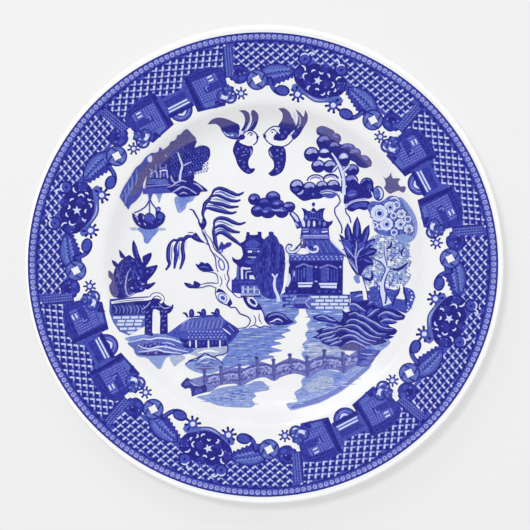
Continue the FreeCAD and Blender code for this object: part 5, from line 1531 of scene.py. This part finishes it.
def rocks(name):
    shore = Print(name)
    shore.area(NAVY, [(47, -15.2), (55, -14.4), (63, -15.4)], [(64.6, -20.4), (66, -23)],
        [(70, -24), (74, -26), (77.2, -28.2)], [(76.2, -30.2), (72.8, -31), (71.6, -32.6), (66.4, -33)],
        [(72.6, -36), (71.4, -38.4), (68.4, -39)], [(71, -39.6), (68, -41), (65, -40.7)],
        [(67, -42.2), (63, -44), (57, -44.6), (52, -46), (44, -46.3), (40, -45)],
        [(36, -44.6), (32, -43.4), (30, -41.2), (26.4, -40.3)], [(29.8, -38), (28, -36.8)],
        [(32, -35), (40, -33.6)], [(43, -29), (42.4, -24.2)], [(47, -22), (47, -15.2)])
    shore.blob(NAVY, (26.5, -29), (28.5, -28), (31.5, -27.5), (34, -28), (37, -29), (39.5, -30.5),
        (42, -32.4), (37.5, -32.6), (33.5, -31.6), (29, -31))
    shore.line(COBALT, 0.9, (30, -30), (33.6, -30.2), (37.6, -31.6), ends=(0.4, 0.4))
    shore.line(LILAC, 0.75, (28.4, -29.2), (31.4, -28.4), (33.6, -28.9), (36, -30.2), (39.4, -31.2),
        ends=(0.4, 0.4))
    shore.blob(COBALT, (47.6, -16.2), (55, -15.6), (62.4, -16.6), (62.8, -20.2), (58, -22.4), (51.4, -20.4),
        (47.8, -20))
    # The plum lower edge of the rocks is painted reflection over the dark print.
    shore.blob(PLUM_AND_REFLECTION, (41, -46.2), (44.6, -43.6), (48.4, -42.4), (52, -43.6), (56, -45.4), (52.6, -47),
        (48.6, -47.2), (44.4, -47))
    for tone, x, y, rx, ry, turn in (
        (COBALT, 48.6, -24.6, 3, 0.9, -10), (COBALT, 58, -25.8, 1.9, 1.1, 40),
        (COBALT, 53.6, -27.4, 1.8, 1, -10), (COBALT, 66.2, -29, 1.8, 1, 0),
        (COBALT, 66.2, -33.2, 2.4, 0.7, -10), (COBALT, 36, -33.4, 2.4, 0.6, 0),
        (BAND, 55.6, -18.6, 3, 1.2, 10), (COBALT, 70, -27.2, 2.2, 0.9, -24),
    ):
        shore.disc(tone, x, y, rx, ry, turn)
    for route in (
        ((45.5, -23.5), (48, -21.8), (50, -22), (53, -24), (55.5, -25.8)),
        ((56.5, -28.5), (58.5, -27.3), (60.5, -25.5), (63, -24.5)),
        ((46.5, -27.5), (50, -26.6), (52.2, -28), (54.5, -28.6), (57.5, -30.5), (61, -32.2), (64, -34.2),
            (67.5, -35.2), (70.5, -35.2)),
        ((45, -32), (47, -30.5), (50, -30.4), (52.5, -31.5), (55.5, -32.8), (57.5, -34.4), (59.8, -36.4),
            (62.6, -38), (66.6, -38.2)),
        ((43.5, -34.2), (46.5, -33.3), (49.5, -33.4), (52, -34.6), (54.5, -36.8), (57.5, -38.8), (61, -40),
            (64, -40.4)),
        ((39, -37), (41.5, -35.5), (44.5, -35.4), (47, -36.4), (50, -37.2), (53, -39.2), (55.8, -41),
            (58.5, -41.8), (61.5, -42.4)),
        ((41, -41), (43.5, -39.6), (46.5, -38.8), (50, -39.5), (52, -41), (54.5, -42.4), (57, -43.4),
            (59.5, -44)),
        ((44.6, -43.4), (48.5, -42.2), (52, -43.4), (54.5, -44.6), (56, -45.6)),
        ((62.5, -28.5), (64.5, -27), (67, -26.2), (70.5, -27.2), (73, -28.4), (75.4, -28.6)),
        ((63.5, -31.7), (66, -30.4), (69, -30.3), (71.5, -31), (73.4, -30.8)),
        ((32, -36), (35.5, -34.9), (38, -34.9), (41, -33.9), (43, -34)),
        ((29, -40), (31.5, -38.6), (34, -38), (37, -37.2), (39.5, -36.6)),
        ((30.6, -41.8), (33, -40.6), (36, -40), (39, -38.6)),
        ((33, -42.6), (35.5, -41.8), (38, -41.2), (41, -39.9)), ((36, -44.2), (39, -43), (42.5, -42)),
        ((49.6, -18), (53.6, -16.8), (58, -17.6)), ((57, -21.6), (60, -20.2), (63, -19.4)),
    ):
        shore.line(COBALT, 0.7, *((x - 0.3, y - 1.05) for x, y in route), ends=(0.4, 0.4))
        shore.line(LILAC, 0.85, *route, ends=(0.4, 0.4))
    shore.facet(PAPER, (42.6, -24.6), (45, -23.8), (47.2, -25.6), (44.6, -26.4))
    return shore


def bridge(name):
    span = Print(name)
    span.area(BRIDGE, [(-41.6, -63.2), (-36, -62), (-33, -61), (-25, -60)],
        [(-23.5, -57.6), (-19, -57.5), (-13.5, -56.6), (-10, -57), (-5, -53.8), (-2, -53.4), (5, -55),
        (11, -52.5), (14.3, -51.4), (18, -51.8), (23.5, -53), (30, -50.6), (33.5, -49.7), (43, -51),
        (51, -47.5), (53.4, -46)], [(55, -52), (51, -54.6), (47, -57.5), (43.6, -60), (40, -58.2),
        (31, -58), (24.5, -62), (20, -60.6), (16, -60), (9, -62), (5.5, -64), (0, -62), (-5, -63),
        (-9, -65), (-13, -67), (-16, -65.6), (-24, -66.5), (-31, -70), (-41.6, -63.2)])
    # The rails: a pale line and a darker one between each pair of posts.
    posts = ((-32.5, -58, -69.5), (-23.5, -56, -67), (-13.3, -55, -67.3), (-3.8, -51, -63),
        (5.3, -52, -64.3), (14.3, -49.3, -61), (23.6, -50.5, -62.3), (33.2, -47, -58.5),
        (43.3, -48.5, -60.3), (52, -46.5, -55))
    for (x0, top0, foot0), (x1, top1, foot1) in zip(posts, posts[1:]):
        middle = (x0 + x1) / 2
        rail = (top0 + top1) / 2 - 3.6
        span.line(BRIDGE_DARK, 1.1, (x0, top0 - 4.4), (middle, rail), (x1, top1 - 4.4))
        span.line(LILAC, 0.9, (x0 + 0.8, top0 - 5.6), (middle, rail - 1.3), (x1 - 0.8, top1 - 5.6),
            ends=(0.5, 0.5))
        span.line(BRIDGE_DARK, 0.9, (x0, foot0 + 3.4), (middle, (foot0 + foot1) / 2 + 3.6), (x1, foot1 + 3.4))
        for bay in range(4):
            x = x0 + (x1 - x0) * (bay + 0.6) / 4.4
            y = (foot0 + foot1) / 2 + 4.6 + (top1 - top0) * (bay - 1.5) / 5
            span.line(LILAC if bay % 2 else BRIDGE_DARK, 0.5, (x - 1.1, y - 1.2), (x, y + 1.3),
                (x + 1.1, y - 1), ends=(0.5, 0.5))
        span.line(WASH, 0.7, (x0 + 1.2, foot0 + 4.6), (middle, rail - 3.2), (x1 - 1.2, top1 - 7.8),
            ends=(0.4, 0.4))
    for x, top, foot in posts:
        span.line(BRIDGE_DARK, 2, (x - 0.3, top), (x, (top + foot) / 2), (x + 0.1, foot + 1), ends=(0.7, 0.4))
        span.line(BRIDGE, 0.8, (x + 0.2, top - 1.4), (x + 0.4, foot + 3), ends=(0.4, 0.4))
        span.disc(BRIDGE_DARK, x - 0.3, top - 0.4, 1.25, 0.9)
    for x, y in ((-28, -62), (-30, -64.3), (-27.5, -65.5), (-25.8, -63), (-6.5, -59.5), (-8.5, -62.2),
            (-9, -58.8), (9.5, -56), (12.3, -57.3), (10, -60), (19, -54.3), (28, -54.3), (31, -55),
            (28.8, -57.7), (40.5, -50.5), (43.3, -47.7), (47, -51.7), (50, -52.5), (45.3, -54.7),
            (-18.2, -60.6), (-20, -63), (0.4, -57.6), (2.6, -59.6), (19.6, -57.6), (37.6, -53.4),
            (38.8, -56)):
        span.disc(LILAC, x, y, 0.75, 0.6, 20)
    speckle(span, LILAC, 0.42, [(-34, -66), (-24, -61), (-4, -56), (14, -54), (33, -52), (52, -49),
        (50, -53), (33, -56.5), (14, -58.6), (-4, -61), (-24, -65), (-31, -68.6)], 150, 4, 1.3)
    speckle(span, BRIDGE_DARK, 0.4, [(-34, -66), (-24, -61), (-4, -56), (14, -54), (33, -52), (52, -49),
        (50, -53), (33, -56.5), (14, -58.6), (-4, -61), (-24, -65), (-31, -68.6)], 120, 9, 1.8)
    # The two ends.
    span.area(NAVY, [(-42.4, -62), (-45.6, -66), (-43.4, -68.2)], [(-40.6, -68), (-39.6, -72.4)],
        [(-36, -71.2), (-31.2, -70)], [(-32, -66), (-35.6, -67.2)], [(-38.6, -65.6), (-40, -63.6),
        (-42.4, -62)])
    span.blob(COBALT, (-42.6, -64), (-43.8, -66), (-42.4, -67), (-40.8, -65.4))
    span.blob(COBALT, (-37.6, -68.6), (-38, -71), (-34.8, -70.2), (-34, -68.4))
    span.line(LILAC, 0.7, (-41, -63.8), (-38.6, -66), (-36, -66.4), ends=(0.4, 0.4))
    span.area(COBALT, [(52, -47.2), (57, -46.4), (64, -47.2)], [(62.4, -49.4), (61, -51), (59.8, -53),
        (57.4, -55.6), (53.6, -56), (50.4, -55.2)], [(51.4, -52.4), (52, -47.2)])
    span.lines(
        (NAVY, 0.8, (50.2, -55.2), (54, -55.8), (58, -55)),
        (NAVY, 0.7, (51.6, -52.6), (54.6, -52.2), (59.4, -53.4)),
        (NAVY, 0.6, (53.4, -49.8), (57.6, -50), (62, -50)),
        ends=(0.5, 0.5),
    )
    span.line(BAND, 0.8, (53, -51), (56, -51.2), (60.2, -51.4), ends=(0.4, 0.4))
    span.line(LILAC, 0.7, (53, -48.8), (56, -49.4), (59.4, -49.6), ends=(0.4, 0.4))
    return span


def centre_pieces():
    """Every motif of the landscape, the far ones first."""
    return [
        water("water"), bank("bank"), islets("islets"), rocks("rocks"), bridge("bridge"),
        wall_and_gate("wall_and_gate"), house_on_the_bank("bank_house"), second_pagoda("pagoda"),
        round_tree("round_tree"), orange_tree("orange_tree"), blossom_tree("blossom_tree"),
        pointed_plant("pointed_plant"), teahouse("teahouse"), centre_bush("centre_bush"),
        left_bush("left_bush"), willow("willow"), island("island"), boat("boat"), doves("doves"),
        star("star"),
    ]


# ---- materials ----

TONE_COLOURS = {  # as seen, 0 to 255
    NAVY: (38, 37, 136),
    INDIGO: (53, 57, 161),
    COBALT: (70, 80, 183),
    BAND: (90, 106, 194),
    SKY: (120, 142, 218),
    WASH: (140, 160, 222),
    MIST: (178, 190, 222),
    LILAC: (170, 175, 235),
    PALE: (212, 220, 250),
    PAPER: (240, 240, 242),
    # The plum tone is plum print in a few places, but mostly a painted reflection: the violet veil the glossy
    # glaze lays over dark print where it climbs the side of the well.
    PLUM_AND_REFLECTION: (98, 90, 150),
    BEAD: (128, 130, 215),
    BRIDGE: (118, 122, 198),
    BRIDGE_DARK: (85, 85, 165),
    TICK: (208, 216, 247),
}
VEIL = 0.018  # light that the glossy coat adds over every colour


def linear(colour):
    """A seen colour as the base colour that renders it, under the veil of the gloss."""
    values = []
    for channel in colour:
        share = channel / 255
        value = share / 12.92 if share <= 0.04045 else ((share + 0.055) / 1.055) ** 2.4
        values.append(max(0.002, value - VEIL))
    return (*values, 1.0)


def new_material(name, roughness):
    material = bpy.data.materials.new(name)
    material.use_nodes = True
    shader = material.node_tree.nodes["Principled BSDF"]
    shader.inputs["Roughness"].default_value = roughness
    shader.inputs["IOR"].default_value = 1.5
    return material, shader


def add_node(material, kind, **sockets):
    node = material.node_tree.nodes.new(kind)
    for socket, value in sockets.items():
        node.inputs[socket.replace("_", " ")].default_value = value
    return node


def mottle(material, scale, detail=3.0):
    """The piece's own coordinates, and a noise over them."""
    place = add_node(material, "ShaderNodeTexCoord")
    noise = add_node(material, "ShaderNodeTexNoise", Scale=scale, Detail=detail, Roughness=0.6)
    material.node_tree.links.new(place.outputs["Object"], noise.inputs["Vector"])
    return place, noise


def blend_colours(material, factor, first, second):
    """Mixes two colours by a factor socket. The first is a colour, or the socket that it comes from."""
    mix = add_node(material, "ShaderNodeMix")
    mix.data_type = "RGBA"
    first_socket, second_socket = [socket for socket in mix.inputs if socket.type == "RGBA"]
    if isinstance(first, tuple):
        first_socket.default_value = first
    else:
        material.node_tree.links.new(first, first_socket)
    second_socket.default_value = second
    material.node_tree.links.new(factor, mix.inputs["Factor"])
    return next(socket for socket in mix.outputs if socket.type == "RGBA")


def map_range(material, socket, **limits):
    """Maps a socket's values from one range to another, each 0 to 1 where no limit is given."""
    node = add_node(material, "ShaderNodeMapRange", **limits)
    material.node_tree.links.new(socket, node.inputs["Value"])
    return node.outputs["Result"]


def product(material, first, second):
    node = add_node(material, "ShaderNodeMath")
    node.operation = "MULTIPLY"
    material.node_tree.links.new(first, node.inputs[0])
    material.node_tree.links.new(second, node.inputs[1])
    return node.outputs[0]


def distance_out(material, place):
    """The coordinates split into X, Y and Z, and the distance from the plate's axis."""
    links = material.node_tree.links
    split = add_node(material, "ShaderNodeSeparateXYZ")
    links.new(place.outputs["Object"], split.inputs["Vector"])
    flat = add_node(material, "ShaderNodeCombineXYZ")
    links.new(split.outputs["X"], flat.inputs["X"])
    links.new(split.outputs["Y"], flat.inputs["Y"])
    reach = add_node(material, "ShaderNodeVectorMath")
    reach.operation = "LENGTH"
    links.new(flat.outputs["Vector"], reach.inputs[0])
    return split, reach.outputs["Value"]


INKS = {}


def ink(tone):
    """The printed colour of a tone: slightly uneven, as a transfer prints, under clear glaze. Navy and indigo
    turn violet on the upper side of the well, a painted reflection.
    """
    if tone in INKS:
        return INKS[tone]
    material, shader = new_material(f"ink_{tone}", 0.13)
    links = material.node_tree.links
    place, noise = mottle(material, 900.0)
    seen = TONE_COLOURS[tone]
    depth = 0.03 if tone in (PAPER, PALE) else 0.13
    darker = linear([channel * (1 - depth) for channel in seen])
    lighter = linear([channel + (255 - channel) * depth * 0.55 for channel in seen])
    uneven = map_range(material, noise.outputs["Fac"], From_Min=0.34, From_Max=0.66)
    colour = blend_colours(material, uneven, darker, lighter)
    # painted reflection: navy and indigo are blended to violet where the glossy glaze would mirror a light veil
    # over them on the upper verge
    if tone in (NAVY, INDIGO):
        reflection_violet = linear([channel * 0.95 for channel in TONE_COLOURS[PLUM_AND_REFLECTION]])
        colour = blend_colours(material, upper_verge_reflection(material, place), colour, reflection_violet)
    links.new(colour, shader.inputs["Base Color"])
    roughness = map_range(material, noise.outputs["Fac"], To_Min=0.10, To_Max=0.17)
    links.new(roughness, shader.inputs["Roughness"])
    INKS[tone] = material
    return material


def upper_verge_reflection(material, place):
    """Where the painted reflection falls: 1 where the print climbs the side of the well in the upper half, and
    0 elsewhere.
    """
    split, distance = distance_out(material, place)
    past_well = map_range(material, distance, From_Min=0.0775, From_Max=0.0790)
    short_of_rim = map_range(material, distance, From_Min=0.0880, From_Max=0.0870)
    upper = map_range(material, split.outputs["Y"], From_Min=0.008, From_Max=0.015)
    return product(material, product(material, past_well, upper), short_of_rim)


def white_glaze():
    """Glossy white glaze with the faint unevenness of china; the lip is painted whiter, a painted highlight."""
    material, shader = new_material("white_glaze", 0.12)
    links = material.node_tree.links
    place, noise = mottle(material, 24.0, 4.0)
    uneven = map_range(material, noise.outputs["Fac"], From_Min=0.3, From_Max=0.7)
    colour = blend_colours(material, uneven, linear((235, 235, 236)), linear((241, 241, 242)))
    distance = distance_out(material, place)[1]
    # painted highlight: the outer lip is blended to a brighter white, not a thicker glaze
    lip = map_range(material, distance, From_Min=0.1268, From_Max=0.1284)
    links.new(blend_colours(material, lip, colour, linear((253, 253, 253))), shader.inputs["Base Color"])
    roughness = map_range(material, noise.outputs["Fac"], To_Min=0.08, To_Max=0.16)
    links.new(roughness, shader.inputs["Roughness"])
    return material


def biscuit():
    """Fired, unglazed clay: off-white, matt and finely speckled."""
    material, shader = new_material("bare_biscuit", 0.85)
    links = material.node_tree.links
    noise = mottle(material, 900.0, 5.0)[1]
    uneven = map_range(material, noise.outputs["Fac"], From_Min=0.35, From_Max=0.65)
    colour = blend_colours(material, uneven, linear((206, 198, 184)), linear((236, 230, 219)))
    links.new(colour, shader.inputs["Base Color"])
    bump = add_node(material, "ShaderNodeBump", Strength=0.25, Distance=0.00008)
    links.new(noise.outputs["Fac"], bump.inputs["Height"])
    links.new(bump.outputs["Normal"], shader.inputs["Normal"])
    return material


def dress_cad(node, material):
    piece = frame["nodes"][node]
    piece.data.materials.clear()
    piece.data.materials.append(material)


# ---- camera, light and floor ----

def add_camera():
    """Straight above the plate, far enough off that the well and the rim keep one scale."""
    rig = bpy.data.cameras.new("camera")
    distance = 1.2
    frame_width = 0.2871  # at the rim
    rig.sensor_width = 36.0
    rig.lens = rig.sensor_width * distance / frame_width
    rig.clip_end = 20.0
    camera = bpy.data.objects.new("camera", rig)
    camera.location = (0.00043, -0.00043, PLATE_HEIGHT * MM + distance)
    bpy.context.scene.collection.objects.link(camera)
    bpy.context.scene.camera = camera


def add_light(name, place, size, power, mirrored=True):
    """A square lamp aimed at the plate; mirrored=False keeps it out of the glaze's reflections."""
    lamp = bpy.data.lights.new(name, "AREA")
    lamp.size = size
    lamp.energy = power
    light = bpy.data.objects.new(name, lamp)
    light.location = place
    light.rotation_euler = light.location.to_track_quat("Z", "Y").to_euler()
    light.visible_glossy = mirrored
    bpy.context.scene.collection.objects.link(light)


def add_surroundings():
    add_light("overhead", (-0.26, 0.30, 1.7), 0.25, 12.0, mirrored=False)
    add_light("key", (-0.7, 1.2, 1.3), 1.0, 7.5)
    add_light("broad_key", (0.9, 1.2, 1.3), 2.0, 7.0)
    add_light("fill", (1.5, -0.7, 1.2), 2.0, 3.0)
    add_light("low_fill", (-1.0, -1.4, 1.2), 2.0, 4.5)
    world = bpy.data.worlds.new("surroundings")
    world.use_nodes = True
    background = world.node_tree.nodes["Background"]
    background.inputs["Color"].default_value = (0.96, 0.97, 1.0, 1.0)
    background.inputs["Strength"].default_value = 0.41
    bpy.context.scene.world = world
    bpy.context.scene.view_settings.view_transform = "Standard"
    add_floor()


def add_floor():
    """A lit table top: part of its brightness is its own, so that the plate's shadow on it stays faint."""
    mesh = bpy.data.meshes.new("floor")
    reach = 3.0
    corners = [(-reach, -reach, 0), (reach, -reach, 0), (reach, reach, 0), (-reach, reach, 0)]
    mesh.from_pydata(corners, [], [(0, 1, 2, 3)])
    material, shader = new_material("floor", 0.9)
    shader.inputs["Base Color"].default_value = (0.40, 0.40, 0.40, 1.0)
    shader.inputs["Specular IOR Level"].default_value = 0.0
    shader.inputs["Emission Color"].default_value = (1.0, 1.0, 1.0, 1.0)
    shader.inputs["Emission Strength"].default_value = 0.449
    mesh.materials.append(material)
    floor = bpy.data.objects.new("floor", mesh)
    bpy.context.scene.collection.objects.link(floor)


# ---- the films: artwork draped on the plate ----

FILM_RISE = 0.012  # of the lowest layer over the glaze
LAYER = 0.006  # between shapes that cover each other
SLIVER = 0.0001  # between neighbours in one layer, so that no two faces lie in one place
SLIVER_COUNT = 40
BORDER_STRETCH = (1.006, 0.994)  # the border transfer isn't quite round
BORDER_SHIFT = (-0.65, -0.2)  # nor laid quite in the middle
BORDER_PITCH = 3.0  # the border's films are cut on this grid, to bend with the rim
VERGE_PITCH = 1.2  # and those of the landscape that reach beyond the flat of the well on this one
FLAT_RADIUS = 64.0
SLOPE_REACH = 0.3  # either side of a point, to find the slope of the face there


def top_heights(radii):
    return np.interp(radii, TOP_RADII, TOP_HEIGHTS)


def layer_numbers(shapes, taken):
    """A layer for each shape, one above whatever it covers. taken holds the boxes and layers so far."""
    numbers = []
    for tone, first, second in shapes:
        points = np.array(first if second is None else first + second)
        low, high = points.min(0), points.max(0)
        layer = 0
        if taken:
            boxes = np.array([entry[0] for entry in taken])
            covers = (boxes[:, :2] < high).all(axis=1) & (boxes[:, 2:] > low).all(axis=1)
            layers = np.array([entry[1] + (entry[2] != tone) for entry in taken])
            if covers.any():
                layer = int(layers[covers].max())
        taken.append(((low[0], low[1], high[0], high[1]), layer, tone))
        numbers.append(layer)
    return numbers


def signed_area(outline):
    return sum(x0 * y1 - x1 * y0 for (x0, y0), (x1, y1) in zip(outline, outline[1:] + outline[:1])) / 2


def add_shape(bm, level, first, second):
    """The flat faces of one shape: its filled outline, or the strip between its left and right edge."""
    if second is None:
        outline = first if signed_area(first) >= 0 else first[::-1]
        return [bm.faces.new([bm.verts.new((x, y, level)) for x, y in outline])]
    left = [bm.verts.new((x, y, level)) for x, y in first]
    right = [bm.verts.new((x, y, level)) for x, y in second]
    return [bm.faces.new(corners) for corners in zip(left, left[1:], right[1:], right)]


def cut_on_grid(bm, pitch):
    points = np.array([vert.co[:] for vert in bm.verts])
    for axis, normal in enumerate(((1, 0, 0), (0, 1, 0))):
        cut = math.ceil(points[:, axis].min() / pitch) * pitch
        while cut < points[:, axis].max():
            spot = (cut, 0, 0) if axis == 0 else (0, cut, 0)
            geometry = bm.verts[:] + bm.edges[:] + bm.faces[:]
            bmesh.ops.bisect_plane(bm, geom=geometry, plane_co=spot, plane_no=normal, dist=1e-4)
            cut += pitch
    bmesh.ops.triangulate(bm, faces=[face for face in bm.faces if len(face.verts) > 4])


def drape(mesh, place):
    """Moves a flat mesh to its place on the face, where its heights stand off the glaze."""
    flat = np.empty(len(mesh.vertices) * 3)
    mesh.vertices.foreach_get("co", flat)
    flat = flat.reshape(-1, 3)
    x, y = place(flat[:, 0], flat[:, 1])
    radii = np.hypot(x, y)
    rise = top_heights(radii + SLOPE_REACH) - top_heights(np.maximum(radii - SLOPE_REACH, 0.0))
    slopes = rise / (2 * SLOPE_REACH)
    safe = np.maximum(radii, 1e-6)
    normals = np.stack([-slopes * x / safe, -slopes * y / safe, np.ones_like(x)], axis=1)
    normals /= np.linalg.norm(normals, axis=1, keepdims=True)
    draped = np.stack([x, y, top_heights(radii)], axis=1) + normals * flat[:, 2:3]
    mesh.vertices.foreach_set("co", (draped * MM).ravel())
    mesh.update()
    mesh.normals_split_custom_set_from_vertices(normals.tolist())


def film(name, motif, layers, place, pitch=None):
    """A mesh from a print: each shape a flat film, cut on a grid of this pitch and draped on the face."""
    bm = bmesh.new()
    tones = sorted({tone for tone, first, second in motif.shapes})
    for index, ((tone, first, second), layer) in enumerate(zip(motif.shapes, layers)):
        level = FILM_RISE + layer * LAYER + SLIVER * (index % SLIVER_COUNT)
        for face in add_shape(bm, level, first, second):
            face.material_index = tones.index(tone)
            face.smooth = True
    bm.normal_update()
    bmesh.ops.triangulate(bm, faces=bm.faces[:], ngon_method="EAR_CLIP")
    bm.normal_update()
    bmesh.ops.reverse_faces(bm, faces=[face for face in bm.faces if face.normal.z < 0])
    if pitch:
        cut_on_grid(bm, pitch)
    mesh = bpy.data.meshes.new(name)
    bm.to_mesh(mesh)
    bm.free()
    drape(mesh, place)
    for tone in tones:
        mesh.materials.append(ink(tone))
    return mesh


def add_piece(name, mesh, node):
    piece = bpy.data.objects.new(name, mesh)
    bpy.context.scene.collection.objects.link(piece)
    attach(piece, "root")
    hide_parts(node)


def around(direction):
    """Places upright sector artwork round the rim: its y points out along the direction."""
    out_x, out_y = math.cos(math.radians(direction)), math.sin(math.radians(direction))

    def place(x, y):
        turned_x = y * out_x + x * out_y
        turned_y = y * out_y - x * out_x
        return turned_x * BORDER_STRETCH[0] + BORDER_SHIFT[0], turned_y * BORDER_STRETCH[1] + BORDER_SHIFT[1]

    return place


def add_border():
    kinds = {"ground": [], "beads": [], "lattice": [], "flowers": [], "frets": []}
    taken = {}
    for direction, motif in border_pieces():
        layers = layer_numbers(motif.shapes, taken.setdefault(direction, []))
        kinds[motif.name.split("_")[0]].append((direction, motif, layers))
    for kind, prints in kinds.items():
        for quarter in range(4):
            name = f"border_{kind}_{quarter + 1}"
            meshes = [film("part", motif, layers, around(direction + 90.0 * quarter),
                BORDER_PITCH) for direction, motif, layers in prints]
            add_piece(name, joined(name, meshes), f"border_print_{quarter + 1}")


def joined(name, meshes):
    """One mesh from several, keeping each one's materials and normals."""
    if len(meshes) == 1:
        meshes[0].name = name
        return meshes[0]
    materials = list(dict.fromkeys(material for mesh in meshes for material in mesh.materials))
    bm = bmesh.new()
    for mesh in meshes:
        start = len(bm.faces)
        bm.from_mesh(mesh)
        bm.faces.ensure_lookup_table()
        for face in bm.faces[start:]:
            face.material_index = materials.index(mesh.materials[face.material_index])
    whole = bpy.data.meshes.new(name)
    bm.to_mesh(whole)
    bm.free()
    for material in materials:
        whole.materials.append(material)
    for mesh in meshes:
        bpy.data.meshes.remove(mesh)
    return whole


def add_centre():
    taken = []
    for motif in centre_pieces():
        layers = layer_numbers(motif.shapes, taken)
        reach = max(math.hypot(x, y) for tone, first, second in motif.shapes for x, y in first)
        pitch = VERGE_PITCH if reach > FLAT_RADIUS else None
        name = f"print_{motif.name}"
        add_piece(name, film(name, motif, layers, lambda x, y: (x, y), pitch), "centre_print")


def coat_profile():
    """The closed outline of the glaze coat's wall: out along the glazed face and back, then in behind it."""
    outer = np.array(OUTLINE)
    ahead = np.gradient(outer, axis=0)
    ahead /= np.linalg.norm(ahead, axis=1, keepdims=True)
    inward = np.stack([ahead[:, 1], -ahead[:, 0]], axis=1)
    inner = outer + inward * GLAZE_THICKNESS
    inner[0, 0] = 0.0
    return [*outer.tolist(), *inner[::-1].tolist()]


def ring_of(bm, radius, height, steps):
    """A level ring of vertices, or the one vertex on the axis."""
    if radius < 1e-6:
        return [bm.verts.new((0, 0, height * MM))]
    turns = [2 * math.pi * step / steps for step in range(steps)]
    return [bm.verts.new((radius * MM * math.cos(turn), radius * MM * math.sin(turn),
        height * MM)) for turn in turns]


def add_face():
    """The glaze coat over the face and back, turned as a closed shell."""
    steps = 288
    bm = bmesh.new()
    rings = [ring_of(bm, radius, height, steps) for radius, height in coat_profile()]
    for lower, upper in zip(rings, rings[1:]):
        for step in range(steps):
            following = (step + 1) % steps
            corners = [lower[step % len(lower)], lower[following % len(lower)],
                upper[following % len(upper)], upper[step % len(upper)]]
            bm.faces.new(list(dict.fromkeys(corners)))
    bmesh.ops.recalc_face_normals(bm, faces=bm.faces[:])
    for face in bm.faces:
        face.smooth = True
    mesh = bpy.data.meshes.new("glazed_face")
    bm.to_mesh(mesh)
    bm.free()
    mesh.materials.append(white_glaze())
    add_piece("glazed_face", mesh, "face_glaze")


# ---- the plate ----

dress_cad("biscuit_body", biscuit())
dress_cad("base_glaze", white_glaze())
add_face()
add_border()
add_centre()
add_camera()
add_surroundings()
